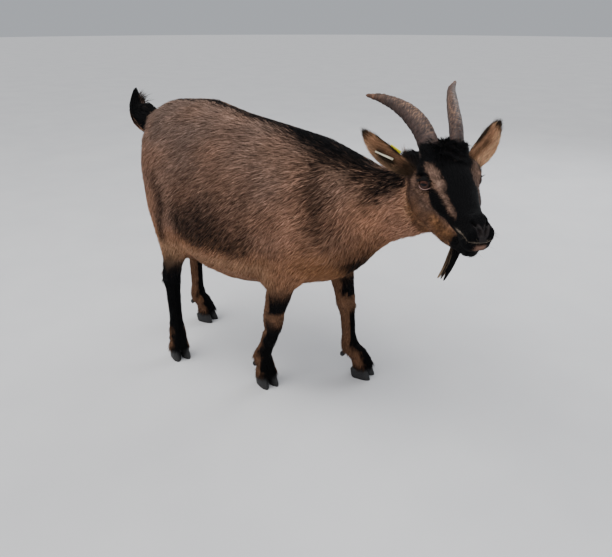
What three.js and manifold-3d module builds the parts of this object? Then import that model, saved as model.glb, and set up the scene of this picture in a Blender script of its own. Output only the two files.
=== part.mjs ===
// A chamois-coloured domestic goat doe, standing, life size. Millimetres, +X forward, +Y to its left, +Z up.
// The flesh is one smooth field of swept limbs and muscle masses, surfaced region by region and parted by thin cuts.
import * as THREE from 'three';
import { mergeVertices } from 'three/addons/utils/BufferGeometryUtils.js';
import Module from 'manifold-3d';

const wasm = await Module();
wasm.setup();

// ---------------------------------------------------------------- driving dimensions
const GAP = 0.4; // the thin cut between two pieces
const HEAD = { at: [540, -112, 652], yaw: -43, pitch: 12, roll: 0, scale: 1.02 };
const CELL = {
  trunk: [42, 35, 35], neck: [25, 25, 25], head: [13.5, 13.5, 13.5], upper: [23, 23, 33], lower: [15.5, 15.5, 29],
};

const SIDES = [['right', -1], ['left', 1]];
// Each foot: places of the joints, the sole's middle, and the heading of the toes in degrees.
const FEET = {
  fore_right: { side: -1, top: [150, -94, 400], knee: [93, -90, 222], fetlock: [46, -82, 86], sole: [62, -80], toes: -24 },
  fore_left: { side: 1, top: [168, 96, 400], knee: [200, 96, 222], fetlock: [216, 97, 86], sole: [257, 108], toes: 6 },
  hind_right: { side: -1, top: [-196, -110, 420], knee: [-256, -106, 252], fetlock: [-246, -112, 86], sole: [-240, -112],
    toes: -26 },
  hind_left: { side: 1, top: [-210, 110, 420], knee: [-370, 104, 246], fetlock: [-370, 106, 86], sole: [-338, 113], toes: 8 },
};

// ---------------------------------------------------------------- small vector helpers
const sub = (a, b) => [a[0] - b[0], a[1] - b[1], a[2] - b[2]];
const add = (a, b, s = 1) => [a[0] + b[0] * s, a[1] + b[1] * s, a[2] + b[2] * s];
const dot = (a, b) => a[0] * b[0] + a[1] * b[1] + a[2] * b[2];
const cross = (a, b) => [a[1] * b[2] - a[2] * b[1], a[2] * b[0] - a[0] * b[2], a[0] * b[1] - a[1] * b[0]];
const unit = (a) => {
  const length = Math.hypot(...a);
  return [a[0] / length, a[1] / length, a[2] / length];
};
const mix = (a, b, t) => a.map((v, i) => v + (b[i] - v) * t);
const mirrored = (p, side) => [p[0], p[1] * side, p[2]];

// ---------------------------------------------------------------- shapes of the field
// Distance to an ellipsoid with half-sizes r, from a point given in its own axes.
function ellipsoidDistance(x, y, z, a, b, c) {
  const [u, v, w] = [x / a, y / b, z / c];
  const k0 = Math.sqrt(u * u + v * v + w * w);
  const k1 = Math.sqrt((u * u) / (a * a) + (v * v) / (b * b) + (w * w) / (c * c));
  return k1 < 1e-9 ? -Math.min(a, b, c) : (k0 * (k0 - 1)) / k1;
}

function boxOf(points, margin) {
  const low = [0, 1, 2].map((i) => Math.min(...points.map((p) => p[i])) - margin);
  const high = [0, 1, 2].map((i) => Math.max(...points.map((p) => p[i])) + margin);
  return { low, high };
}

const boxCorners = (low, high) => [0, 1, 2, 3, 4, 5, 6, 7].map((c) => [0, 1, 2].map((i) => ((c >> i) & 1 ? high : low)[i]));

function boxDistance({ low, high }, p) {
  const x = Math.max(low[0] - p[0], p[0] - high[0], 0);
  const y = Math.max(low[1] - p[1], p[1] - high[1], 0);
  const z = Math.max(low[2] - p[2], p[2] - high[2], 0);
  return Math.sqrt(x * x + y * y + z * z);
}

// A muscle mass: an ellipsoid turned so that its first axis lies along a direction in the XZ plane, tilted about Z.
function mass(centre, half, pitch = 0, yaw = 0) {
  const turn = new THREE.Matrix4().makeRotationFromEuler(
    new THREE.Euler(0, THREE.MathUtils.degToRad(pitch), THREE.MathUtils.degToRad(yaw), 'ZYX'));
  const e = turn.elements;
  const [a, b, c] = half;
  const distance = (p) => {
    const [x, y, z] = [p[0] - centre[0], p[1] - centre[1], p[2] - centre[2]];
    return ellipsoidDistance(x * e[0] + y * e[1] + z * e[2], x * e[4] + y * e[5] + z * e[6],
      x * e[8] + y * e[9] + z * e[10], a, b, c);
  };
  return { box: boxOf([centre], Math.max(...half)), distance };
}

// A limb swept through stations [x, y, z, half-width along side, half-depth across it], rounded between them.
function sweep(stations, side, steps = 5) {
  const rings = [];
  const last = stations.length - 1;
  for (let i = 0; i < last; i++) {
    const [a, b, c, d] = [Math.max(i - 1, 0), i, i + 1, Math.min(i + 2, last)].map((n) => stations[n]);
    for (let s = 0; s < steps || (i === last - 1 && s === steps); s++) {
      const t = s / steps;
      rings.push(b.map((v, n) => 0.5 * (2 * v + (c[n] - a[n]) * t + (2 * a[n] - 5 * v + 4 * c[n] - d[n]) * t * t
        + (3 * v - a[n] - 3 * c[n] + d[n]) * t * t * t)));
    }
  }
  const spans = rings.slice(1).map((ring, i) => {
    const from = rings[i];
    const along = sub(ring, from);
    const length = Math.hypot(...along);
    const tangent = unit(along);
    const out = unit(cross(cross(tangent, side), tangent));
    const widest = Math.max(from[3], from[4], ring[3], ring[4]);
    return { from, ring, length, tangent, out, up: cross(tangent, out), widest };
  });
  const distance = (p) => {
    let best = Infinity;
    for (const { from, ring, length, tangent, out, up, widest } of spans) {
      const [x, y, z] = [p[0] - from[0], p[1] - from[1], p[2] - from[2]];
      const reach = x * tangent[0] + y * tangent[1] + z * tangent[2];
      const t = Math.min(Math.max(reach / length, 0), 1);
      const over = reach - t * length;
      const u = x * out[0] + y * out[1] + z * out[2];
      const v = x * up[0] + y * up[1] + z * up[2];
      if (Math.sqrt(over * over + u * u + v * v) - widest > best) continue;
      const w = from[3] + (ring[3] - from[3]) * t;
      const h = from[4] + (ring[4] - from[4]) * t;
      best = Math.min(best, ellipsoidDistance(over, u, v, Math.min(w, h), w, h));
    }
    return best;
  };
  const widest = Math.max(...stations.map((s) => Math.max(s[3], s[4])));
  return { box: boxOf(stations, widest), distance };
}

// A field is a list of shapes, each blended into those before it over its own width; a carving one is taken away.
function field() {
  const parts = [];
  const value = (p) => {
    let d = 1e3;
    for (const { shape, blend, carve } of parts) {
      if (boxDistance(shape.box, p) > (carve ? blend : Math.max(d, 0) + blend)) continue;
      let s = shape.distance(p);
      if (carve) s = -s;
      const h = Math.max(blend - Math.abs(d - s), 0) / blend;
      d = carve ? Math.max(d, s) + (h * h * blend) / 4 : Math.min(d, s) - (h * h * blend) / 4;
    }
    return d;
  };
  return {
    value,
    grow: (shape, blend) => parts.push({ shape, blend }),
    carve: (shape, blend) => parts.push({ shape, blend, carve: true }),
  };
}

// ---------------------------------------------------------------- surfacing
// Surface nets over a lattice: one vertex in each cell that the surface crosses, drawn onto the surface itself.
function surfaced(value, box, cell) {
  const size = box.high.map((v, i) => Math.ceil((v - box.low[i]) / cell[i]) + 2);
  const at = (i, j, k) => [i, j, k].map((n, axis) => box.low[axis] + (n - 0.5) * cell[axis]);
  const steps = [1, size[0], size[0] * size[1]];
  const index = (i, j, k) => i + steps[1] * j + steps[2] * k;
  const values = new Float32Array(size[0] * size[1] * size[2]);
  for (let k = 0; k < size[2]; k++)
    for (let j = 0; j < size[1]; j++)
      for (let i = 0; i < size[0]; i++) {
        const rim = i === 0 || j === 0 || k === 0 || i === size[0] - 1 || j === size[1] - 1 || k === size[2] - 1;
        values[index(i, j, k)] = rim ? cell[0] : value(at(i, j, k));
      }
  const inside = (n) => values[n] < 0;
  untangled(values, size, steps);
  const corners = [0, 1, 2, 3, 4, 5, 6, 7].map((c) => [c & 1, (c >> 1) & 1, (c >> 2) & 1]);
  const vertexOf = new Int32Array(values.length).fill(-1);
  const points = [];
  for (let k = 0; k < size[2] - 1; k++)
    for (let j = 0; j < size[1] - 1; j++)
      for (let i = 0; i < size[0] - 1; i++) {
        const here = corners.map(([a, b, c]) => values[index(i + a, j + b, k + c)]);
        const count = here.filter((v) => v < 0).length;
        if (count === 0 || count === 8) continue;
        const sum = [0, 0, 0];
        let crossings = 0;
        for (let a = 0; a < 8; a++)
          for (const bit of [1, 2, 4]) {
            const b = a | bit;
            if (b === a || here[a] < 0 === here[b] < 0) continue;
            const t = here[a] / (here[a] - here[b]);
            for (let n = 0; n < 3; n++) sum[n] += corners[a][n] + (corners[b][n] - corners[a][n]) * t;
            crossings++;
          }
        const base = at(i, j, k);
        let p = base.map((v, n) => v + (sum[n] / crossings) * cell[n]);
        const rim = [i, j, k].some((n, axis) => n === 0 || n === size[axis] - 2);
        if (!rim) p = drawnOnto(value, p, base, cell);
        vertexOf[index(i, j, k)] = points.length;
        points.push(p);
      }
  const triangles = [];
  const quad = (a, b, c, d, flip) => {
    const [p, q, r, s] = [a, b, c, d].map((n) => points[n]);
    const shorter = Math.hypot(...sub(p, r)) <= Math.hypot(...sub(q, s));
    const faces = shorter ? [[a, b, c], [a, c, d]] : [[b, c, d], [b, d, a]];
    for (const f of faces) triangles.push(...(flip ? f.reverse() : f));
  };
  for (let k = 0; k < size[2] - 1; k++)
    for (let j = 0; j < size[1] - 1; j++)
      for (let i = 0; i < size[0] - 1; i++) {
        const n = index(i, j, k);
        const place = [i, j, k];
        for (let axis = 0; axis < 3; axis++) {
          if (inside(n) === inside(n + steps[axis])) continue;
          if (place[(axis + 1) % 3] === 0 || place[(axis + 2) % 3] === 0) continue;
          const [u, v] = [steps[(axis + 1) % 3], steps[(axis + 2) % 3]];
          quad(vertexOf[n], vertexOf[n - u], vertexOf[n - u - v], vertexOf[n - v], !inside(n));
        }
      }
  return solidFrom(points, triangles);
}

// Fills lattice corners until no two filled ones meet only across the diagonal of a face or of a cell.
function untangled(values, size, steps) {
  const fill = -1e-3;
  const planes = [[0, 1], [0, 2], [1, 2]];
  let changed = true;
  while (changed) {
    changed = false;
    for (let k = 1; k < size[2] - 2; k++)
      for (let j = 1; j < size[1] - 2; j++)
        for (let i = 1; i < size[0] - 2; i++) {
          const n = i + steps[1] * j + steps[2] * k;
          for (const [a, b] of planes) {
            const four = [n, n + steps[a], n + steps[b], n + steps[a] + steps[b]];
            const [p, q, r, s] = four.map((m) => values[m] < 0);
            if (p === s && q === r && p !== q) {
              values[p ? four[1] : four[0]] = fill;
              changed = true;
            }
          }
          for (const [dx, dy, dz] of [[1, 1, 1], [-1, 1, 1], [1, -1, 1], [1, 1, -1]]) {
            const base = n + (dx < 0 ? steps[0] : 0) + (dy < 0 ? steps[1] : 0) + (dz < 0 ? steps[2] : 0);
            const far = base + dx * steps[0] + dy * steps[1] + dz * steps[2];
            if (values[base] < 0 !== values[far] < 0) continue;
            const kind = values[base] < 0;
            const ring = [dx * steps[0], dy * steps[1], dz * steps[2]];
            const others = [base + ring[0], base + ring[1], base + ring[2], far - ring[0], far - ring[1], far - ring[2]];
            if (others.every((m) => values[m] < 0 !== kind)) {
              if (kind) values[others[0]] = values[others[4]] = fill;
              else values[base] = fill;
              changed = true;
            }
          }
        }
  }
}

// Moves a point onto the surface by Newton steps, keeping it inside its own cell.
function drawnOnto(value, point, base, cell) {
  const e = 0.5;
  let p = point;
  for (let n = 0; n < 3; n++) {
    const d = value(p);
    const g = [0, 1, 2].map((i) => (value(p.map((v, m) => (m === i ? v + e : v))) - d) / e);
    const squared = dot(g, g);
    if (squared < 1e-4) break;
    p = add(p, g, (-0.8 * d) / squared);
  }
  return p.map((v, i) => Math.min(Math.max(v, base[i] + 0.03 * cell[i]), base[i] + 0.97 * cell[i]));
}

function solidFrom(points, triangles) {
  return new wasm.Manifold(new wasm.Mesh({
    numProp: 3,
    vertProperties: new Float32Array(points.flat()),
    triVerts: new Uint32Array(triangles),
  }));
}

function solidOf(geometry) {
  const bare = new THREE.BufferGeometry().setAttribute('position', geometry.getAttribute('position'));
  if (geometry.index) bare.setIndex(geometry.index);
  const merged = mergeVertices(bare, 1e-3);
  return new wasm.Manifold(new wasm.Mesh({
    numProp: 3,
    vertProperties: merged.attributes.position.array,
    triVerts: new Uint32Array(merged.index.array),
  }));
}

const largest = (solid) => solid.decompose().sort((a, b) => b.volume() - a.volume())[0];

// ---------------------------------------------------------------- the head's own frame: origin between the eyes, +X to the nose
const headTurn = new THREE.Matrix4().makeRotationFromEuler(new THREE.Euler(
  THREE.MathUtils.degToRad(HEAD.roll), THREE.MathUtils.degToRad(HEAD.pitch), THREE.MathUtils.degToRad(HEAD.yaw), 'ZYX'));
const headPlace = new THREE.Matrix4().makeTranslation(...HEAD.at).multiply(headTurn)
  .multiply(new THREE.Matrix4().makeScale(HEAD.scale, HEAD.scale, HEAD.scale));
const headBack = headPlace.clone().invert().elements;
const fromHead = (p) => new THREE.Vector3(...p).applyMatrix4(headPlace).toArray();
const toHead = (p) => [0, 1, 2].map((i) => p[0] * headBack[i] + p[1] * headBack[4 + i] + p[2] * headBack[8 + i] + headBack[12 + i]);

function headField() {
  const f = field();
  const AXIS = [0, 1, 0];
  // Cranium and muzzle, from the poll to the nose: x, y, z, half-width, half-height.
  f.grow(sweep([
    [-84, 0, -22, 36, 44], [-58, 0, -12, 48, 50], [-25, 0, -8, 53, 53], [5, 0, -12, 51, 50], [38, 0, -20, 41, 43],
    [75, 0, -29, 31, 35], [110, 0, -36, 26, 29], [134, 0, -39, 24, 25],
  ], AXIS), 10);
  // Lower jaw, from its angle to the chin.
  f.grow(sweep([
    [-56, 0, -62, 38, 42], [-18, 0, -74, 36, 41], [30, 0, -83, 27, 32], [72, 0, -85, 19, 20], [108, 0, -81, 16, 14],
    [126, 0, -77, 13, 11],
  ], AXIS), 14);
  for (const side of [-1, 1]) {
    f.grow(mass([-32, side * 36, -50], [44, 17, 40], 20), 18); // cheek muscle
    f.grow(mass([-2, side * 44, 12], [30, 15, 20], 10, side * -8), 14); // brow over the eye
    f.grow(mass([28, side * 34, -22], [34, 12, 16], 14), 16); // cheek bone under the eye
    f.grow(mass([143, side * 14, -31], [13, 11, 14], 20), 8); // nostril wing
    f.grow(mass([132, side * 12, -54], [20, 13, 12], -6), 10); // upper lip
    f.grow(mass([-80, side * 48, -2], [20, 20, 24]), 16); // root of the ear
    f.grow(mass([-44, side * 27, 42], [24, 20, 18]), 12); // root of the horn
    f.carve(mass([8, side * 66, 0], [17, 13, 11], 12), 8); // eye opening
    f.carve(mass([156, side * 11, -31], [9, 4.5, 5], 30, side * 40), 5); // nostril
  }
  f.grow(mass([-46, 0, 34], [32, 34, 16]), 16); // crown between the horns
  return f;
}

const head = headField();

// ---------------------------------------------------------------- the whole flesh
function fleshField() {
  const f = field();
  const AXIS = [0, 1, 0];
  // Barrel, from the seat of the tail to the chest: x, y, z of its middle, half-width, half-height.
  f.grow(sweep([
    [-325, 0, 600, 74, 92], [-275, 0, 584, 104, 148], [-190, 0, 536, 138, 192], [-70, 0, 502, 160, 206],
    [40, 0, 492, 158, 196], [130, 0, 492, 134, 180], [215, 0, 492, 108, 160], [266, 0, 486, 80, 112],
  ], AXIS), 30);
  f.grow(mass([-40, 0, 430], [215, 176, 148], -2), 60); // belly
  f.grow(mass([120, 0, 590], [150, 60, 84], 4), 60); // withers
  f.grow(mass([-205, 0, 650], [140, 84, 86], 3), 50); // loin and croup
  f.grow(mass([206, 0, 406], [100, 64, 60], -14), 40); // brisket
  for (const side of [-1, 1]) {
    f.grow(mass([186, side * 88, 508], [66, 38, 136], 24), 34); // shoulder blade
    f.grow(mass([222, side * 80, 442], [70, 38, 52], -28), 30); // upper arm
    f.grow(mass([-250, side * 90, 604], [90, 36, 76], -14), 40); // hip
    f.grow(mass([-246, side * 96, 500], [88, 44, 130], 8), 36); // thigh
    f.grow(mass([-330, side * 44, 572], [36, 34, 88], 6), 30); // buttock
  }
  // Neck, from between the shoulders to behind the jaws: half-width, half-depth.
  const throat = [...fromHead([-84, 0, -76]), 50, 76];
  const poll = [...fromHead([-72, 0, -40]), 42, 56];
  const root = [262, 0, 518, 74, 106];
  const middle = mix(root, throat, 0.5).map((v, i) => v + [8, 10, -6, -6, -8][i]);
  f.grow(sweep([[175, 0, 530, 88, 118], root, middle, throat, poll], [0.25, 0.97, 0]), 44);
  for (const foot of Object.values(FEET)) legInto(f, foot);
  const skull = {
    box: boxOf(boxCorners([-112, -82, -122], [172, 82, 82]).map(fromHead), 0),
    distance: (p) => head.value(toHead(p)) * HEAD.scale,
  };
  f.grow(skull, 16);
  return f;
}

// A leg below the trunk, from the elbow or stifle down to the coronet: x, y, z, half-width, half-depth.
function legInto(f, foot) {
  const hind = foot.top[0] < 0;
  const { top, knee, fetlock, sole } = foot;
  const AXIS = [0, 1, 0];
  const upper = hind
    ? [[...add(top, [-10, 0, 40]), 46, 76], [...add(mix(top, knee, 0.3), [-12, 0, 0]), 37, 58],
      [...add(mix(top, knee, 0.68), [-4, 0, 0]), 26, 36], [...knee, 22, 29]]
    : [[...add(top, [10, 0, 30]), 42, 60], [...add(mix(top, knee, 0.25), [-4, 0, 0]), 38, 50],
      [...add(mix(top, knee, 0.65), [-3, 0, 0]), 30, 36], [...knee, 25.5, 27]];
  f.grow(sweep(upper, AXIS), 26);
  const joint = add(knee, hind ? [2, 0, -22] : [3, 0, -24]);
  f.grow(sweep([
    [...knee, hind ? 21 : 26, hind ? 28 : 28], [...joint, 20, 24], [...mix(joint, fetlock, 0.4), 17.5, 22.5],
    [...mix(joint, fetlock, 0.78), 17.5, 22.5], [...fetlock, 24, 26], [...add(mix([...sole, 60], fetlock, 0.4), [-2, 0, -4]), 25, 25],
    [sole[0] - 6, sole[1], 42, 27, 27], [sole[0] - 2, sole[1], 22, 27, 27],
  ], AXIS), 10);
  if (hind) f.grow(mass(add(knee, [-17, 0, 14]), [14, 13, 26], 8), 16); // point of the hock
  else f.grow(mass(add(top, [-44, 0, 2]), [24, 22, 36], 6), 24); // point of the elbow
}

const flesh = fleshField();

// ---------------------------------------------------------------- cutters
const FAR = 900;

// A prism on a polygon of [y, z] points, between two values of x.
function slabYZ(polygon, low, high) {
  const shape = new THREE.Shape(polygon.map(([y, z]) => new THREE.Vector2(y, z)));
  const g = new THREE.ExtrudeGeometry(shape, { depth: high - low, bevelEnabled: false });
  g.applyMatrix4(new THREE.Matrix4().set(0, 0, 1, low, 1, 0, 0, 0, 0, 1, 0, 0, 0, 0, 0, 1));
  return solidOf(g);
}


// Everything on one side of a plane, as a great box: kept side lies along the normal.
function halfSpace(point, normal, y = [0, 1, 0]) {
  const n = unit(normal);
  const u = unit(cross(y, n));
  const v = cross(n, u);
  const turn = new THREE.Matrix4().makeBasis(new THREE.Vector3(...n), new THREE.Vector3(...v), new THREE.Vector3(...cross(n, v)));
  const g = new THREE.BoxGeometry(2 * FAR, 2 * FAR, 2 * FAR).applyMatrix4(turn);
  g.translate(...add(point, n, FAR));
  return solidOf(g);
}

// ---------------------------------------------------------------- lofts
// A closed tube through rings of the same number of points, capped flat at both ends.
function loft(rings) {
  const count = rings[0].length;
  const points = rings.flat();
  const triangles = [];
  for (let r = 0; r + 1 < rings.length; r++)
    for (let i = 0; i < count; i++) {
      const [a, b] = [r * count + i, r * count + ((i + 1) % count)];
      triangles.push(a, b, b + count, a, b + count, a + count);
    }
  for (const [first, flip] of [[0, true], [(rings.length - 1) * count, false]]) {
    const middle = points.length;
    points.push(points.slice(first, first + count).reduce((sum, p) => add(sum, p, 1 / count), [0, 0, 0]));
    for (let i = 0; i < count; i++) {
      const [a, b] = [first + i, first + ((i + 1) % count)];
      triangles.push(...(flip ? [middle, b, a] : [middle, a, b]));
    }
  }
  let solid = solidFrom(points, triangles);
  if (solid.volume() < 0) {
    for (let i = 0; i < triangles.length; i += 3) [triangles[i], triangles[i + 1]] = [triangles[i + 1], triangles[i]];
    solid = solidFrom(points, triangles);
  }
  return solid;
}

const spline = (points) => new THREE.CatmullRomCurve3(points.map((p) => new THREE.Vector3(...p)));

// A rounded ring of half-sizes a, b about a place, in the plane of two directions.
function ring(place, out, up, a, b, count, egg = 0) {
  return Array.from({ length: count }, (_, i) => {
    const t = (i / count) * 2 * Math.PI;
    const [c, s] = [Math.cos(t), Math.sin(t)];
    return add(add(place, out, a * c * (1 - egg * s)), up, b * s);
  });
}

// ---------------------------------------------------------------- horns
const HORN = {
  path: [[-44, 27, 20], [-56, 29, 46], [-86, 36, 68], [-127, 46, 81], [-169, 59, 87], [-212, 76, 89], [-243, 97, 90]],
  halfWidth: [14, 14, 13.5, 12.5, 11, 8, 2.5], halfDepth: [24, 24, 22.5, 19, 14, 9.5, 3], steps: 14, sides: 8,
  ridgeHeight: 0.9, tipLift: { '-1': -12, 1: 12 },
};

function horn(side, grow = 0) {
  const last = HORN.path.length - 1;
  const curve = spline(HORN.path.map((p, i) => add(mirrored(p, side), [0, 0, HORN.tipLift[side] * (i / last) ** 3])));
  const taper = (list, t) => {
    const at = t * (list.length - 1);
    const i = Math.min(Math.floor(at), list.length - 2);
    return list[i] + (list[i + 1] - list[i]) * (at - i);
  };
  const rings = [];
  for (let r = 0; r <= HORN.steps; r++) {
    const t = r / HORN.steps;
    const place = curve.getPoint(t).toArray();
    const tangent = curve.getTangent(t).toArray();
    const fore = unit(cross(cross(tangent, [1, -0.5 * side, 0.6]), tangent));
    const ridge = (r % 2) * HORN.ridgeHeight * (1 - t);
    rings.push(ring(place, cross(tangent, fore), fore, taper(HORN.halfWidth, t) + ridge + grow,
      taper(HORN.halfDepth, t) + ridge + grow, HORN.sides).map(fromHead));
  }
  return loft(rings);
}

// ---------------------------------------------------------------- ears
// A leaf, rolled into a tube at its root and opening to a shallow cup; the cup faces forward and a little down.
const EAR = {
  root: [-52, 58, -8], thick: 2.8, steps: 8, sides: 5,
  '-1': { tip: [-108, -143, 53], width: 20.5, opens: [0.8, 0, -0.35] },
  1: { tip: [-107, 145, 63], width: 24.5, opens: [0.85, 0.3, 0.4] },
};

function ear(side) {
  const { tip, width, opens } = EAR[side];
  const root = mirrored(EAR.root, side);
  const along = unit(sub(tip, root));
  const faces = unit(cross(cross(along, opens), along));
  const across = cross(along, faces);
  const rings = [];
  for (let r = 0; r <= EAR.steps; r++) {
    const t = 1 - Math.pow(1 - r / EAR.steps, 1.4); // rings crowd at the rounded tip
    const leaf = r < EAR.steps ? Math.pow(Math.sin(Math.PI * (0.1 + 0.9 * Math.pow(t, 1.1))), 0.6) : 0;
    const half = width * leaf + 1.5;
    const roll = 2.5 - 1.5 * Math.min(t / 0.75, 1); // radians the cross-section turns through
    const radius = half / Math.sin(Math.min(roll, Math.PI) / 2) ;
    const place = add(add(root, sub(tip, root), t), faces, 10 * Math.sin(Math.PI * t) - 6 * t);
    const section = [];
    for (const [thick, order] of [[EAR.thick, 1], [-EAR.thick, -1]])
      for (let i = 0; i <= EAR.sides; i++) {
        const a = ((i / EAR.sides) * 2 - 1) * order * (roll / 2);
        const rim = 1 - Math.pow(Math.abs(a / (roll / 2)), 4) * 0.75;
        const reach = radius + thick * rim;
        section.push(add(add(place, across, reach * Math.sin(a)), faces, radius * Math.cos(roll / 2) - reach * Math.cos(a)));
      }
    rings.push(section.map(fromHead));
  }
  return loft(rings);
}

// ---------------------------------------------------------------- eyes
const EYE = { at: [4, 45, -1], radius: 15.5 };

function eye(side, grow = 0) {
  const g = new THREE.SphereGeometry((EYE.radius + grow) * HEAD.scale, 12, 8);
  g.translate(...fromHead(mirrored(EYE.at, side)));
  return solidOf(g);
}

// ---------------------------------------------------------------- hooves
const HOOF = {
  length: 56, width: 27, spread: 29, coronet: 33, slope: 0.22, lean: 12,
  outline: [[-0.5, -0.3], [-0.28, -0.47], [0.08, -0.5], [0.34, -0.36], [0.5, -0.1], [0.5, 0.12], [0.3, 0.36], [0.02, 0.47],
    [-0.34, 0.45], [-0.5, 0.3]],
};

// Places a point of the foot's own frame (X to the toes) in the shared frame.
function fromFoot(foot, [x, y, z]) {
  const h = THREE.MathUtils.degToRad(foot.toes);
  return [foot.sole[0] + x * Math.cos(h) - y * Math.sin(h), foot.sole[1] + x * Math.sin(h) + y * Math.cos(h), z];
}

function claw(foot, side) {
  const rings = [0, 1].map((t) => HOOF.outline.map(([u, v]) => {
    const shrink = 1 - 0.2 * t;
    const x = u * HOOF.length * shrink - HOOF.lean * t;
    const y = side * (HOOF.spread / 2 + v * HOOF.width * (1 - 0.1 * t) + (u > 0 ? 3 * u : 0)) - side * 1.2 * t;
    return fromFoot(foot, [x, y, t * (HOOF.coronet + HOOF.slope * x)]);
  }));
  return loft(rings);
}

// The plane of the coronets: hoof below, hair and skin above.
function aboveCoronet(foot, lift) {
  const h = THREE.MathUtils.degToRad(foot.toes);
  const normal = [-HOOF.slope * Math.cos(h), -HOOF.slope * Math.sin(h), 1];
  return halfSpace(fromFoot(foot, [0, 0, HOOF.coronet + lift]), normal, [0, 1, 0.01]);
}

function dewclaw(foot, side) {
  const middle = add(foot.fetlock, [-17, side * 11, -24]);
  return { middle, solid: (grow) => {
    const g = new THREE.SphereGeometry(1, 6, 5);
    g.scale(8.5 + grow, 6 + grow, 10.5 + grow).rotateY(0.5).translate(...middle);
    return solidOf(g);
  } };
}

// ---------------------------------------------------------------- ear tag, a button on the back of the right ear and a strip in its cup
const TAG = {
  strip: { size: [38, 3.2, 4.4], t: 0.5, lift: 2, across: -5, turn: 0.3 },
  button: { size: [24, 13, 3], t: 0.42, lift: -7, across: 12, turn: 0.1 },
};

function onEar(side, t, lift, across = 0) {
  const { tip, opens } = EAR[side];
  const root = mirrored(EAR.root, side);
  const along = unit(sub(tip, root));
  const faces = unit(cross(cross(along, opens), along));
  const wide = cross(along, faces);
  return { place: add(add(add(root, sub(tip, root), t), faces, lift), wide, across), along, faces, wide };
}

function slabAt(where, size, turn = 0) {
  const along = new THREE.Vector3(...where.along);
  const faces = new THREE.Vector3(...where.faces);
  along.applyAxisAngle(faces, turn);
  const wide = new THREE.Vector3().crossVectors(faces, along);
  const g = new THREE.BoxGeometry(...size);
  g.applyMatrix4(new THREE.Matrix4().makeBasis(along, wide, faces));
  g.translate(...where.place).applyMatrix4(headPlace);
  return solidOf(g);
}

// ---------------------------------------------------------------- the pieces
const nodes = new THREE.Group();
const COLOUR = { coat: 0x8a5a3c, dark: 0x17151a, horn: 0x7d6a5f, hoof: 0x4a4a4c, eye: 0x6b4a2a, yellow: 0xe4dc30,
  cream: 0xe9e6d2 };

function addNode(name, solid, colour, roughness = 0.85) {
  const mesh = solid.getMesh();
  const positions = new Float32Array(mesh.numVert * 3);
  for (let i = 0; i < mesh.numVert; i++)
    positions.set(mesh.vertProperties.subarray(i * mesh.numProp, i * mesh.numProp + 3), i * 3);
  const geometry = new THREE.BufferGeometry();
  geometry.setAttribute('position', new THREE.BufferAttribute(positions, 3));
  geometry.setIndex(new THREE.BufferAttribute(mesh.triVerts, 1));
  const made = new THREE.Mesh(geometry, new THREE.MeshStandardMaterial({ color: colour, roughness, metalness: 0 }));
  made.name = name;
  nodes.add(made);
}

const region = (box, cell, lift = 0) => surfaced((p) => flesh.value(p) - lift, box, cell);

// Planes that part the head from the neck and the neck from the trunk: a place on each and the way forward.
const NAPE = { place: fromHead([-84, 0, -20]), forward: sub(fromHead([1, 0, 0.32]), fromHead([0, 0, 0])) };
const SHOULDER = { place: [312, 0, 530], forward: [0.93, 0, 0.36] };
const ahead = (cut, lift) => halfSpace(add(cut.place, unit(cut.forward), lift), cut.forward);

// The wedge of space that holds one leg: its inner wall and slanting roof, then its front and back walls.
const LEG = {
  fore: { inner: 44, low: 346, high: 420, front: 290, back: 30 },
  hind: { inner: 40, low: 372, high: 452, front: -120, back: -460 },
};
function legSpace(kind, side, grow) {
  const { inner, low, high, front, back } = LEG[kind];
  const wall = inner - grow;
  const polygon = [[wall, -60], [wall, low + grow], [230, high + (high - low) * 0.4 + grow], [230, -60]];
  return slabYZ(polygon.map(([y, z]) => [y * side, z]), back - grow, front + grow);
}

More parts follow.
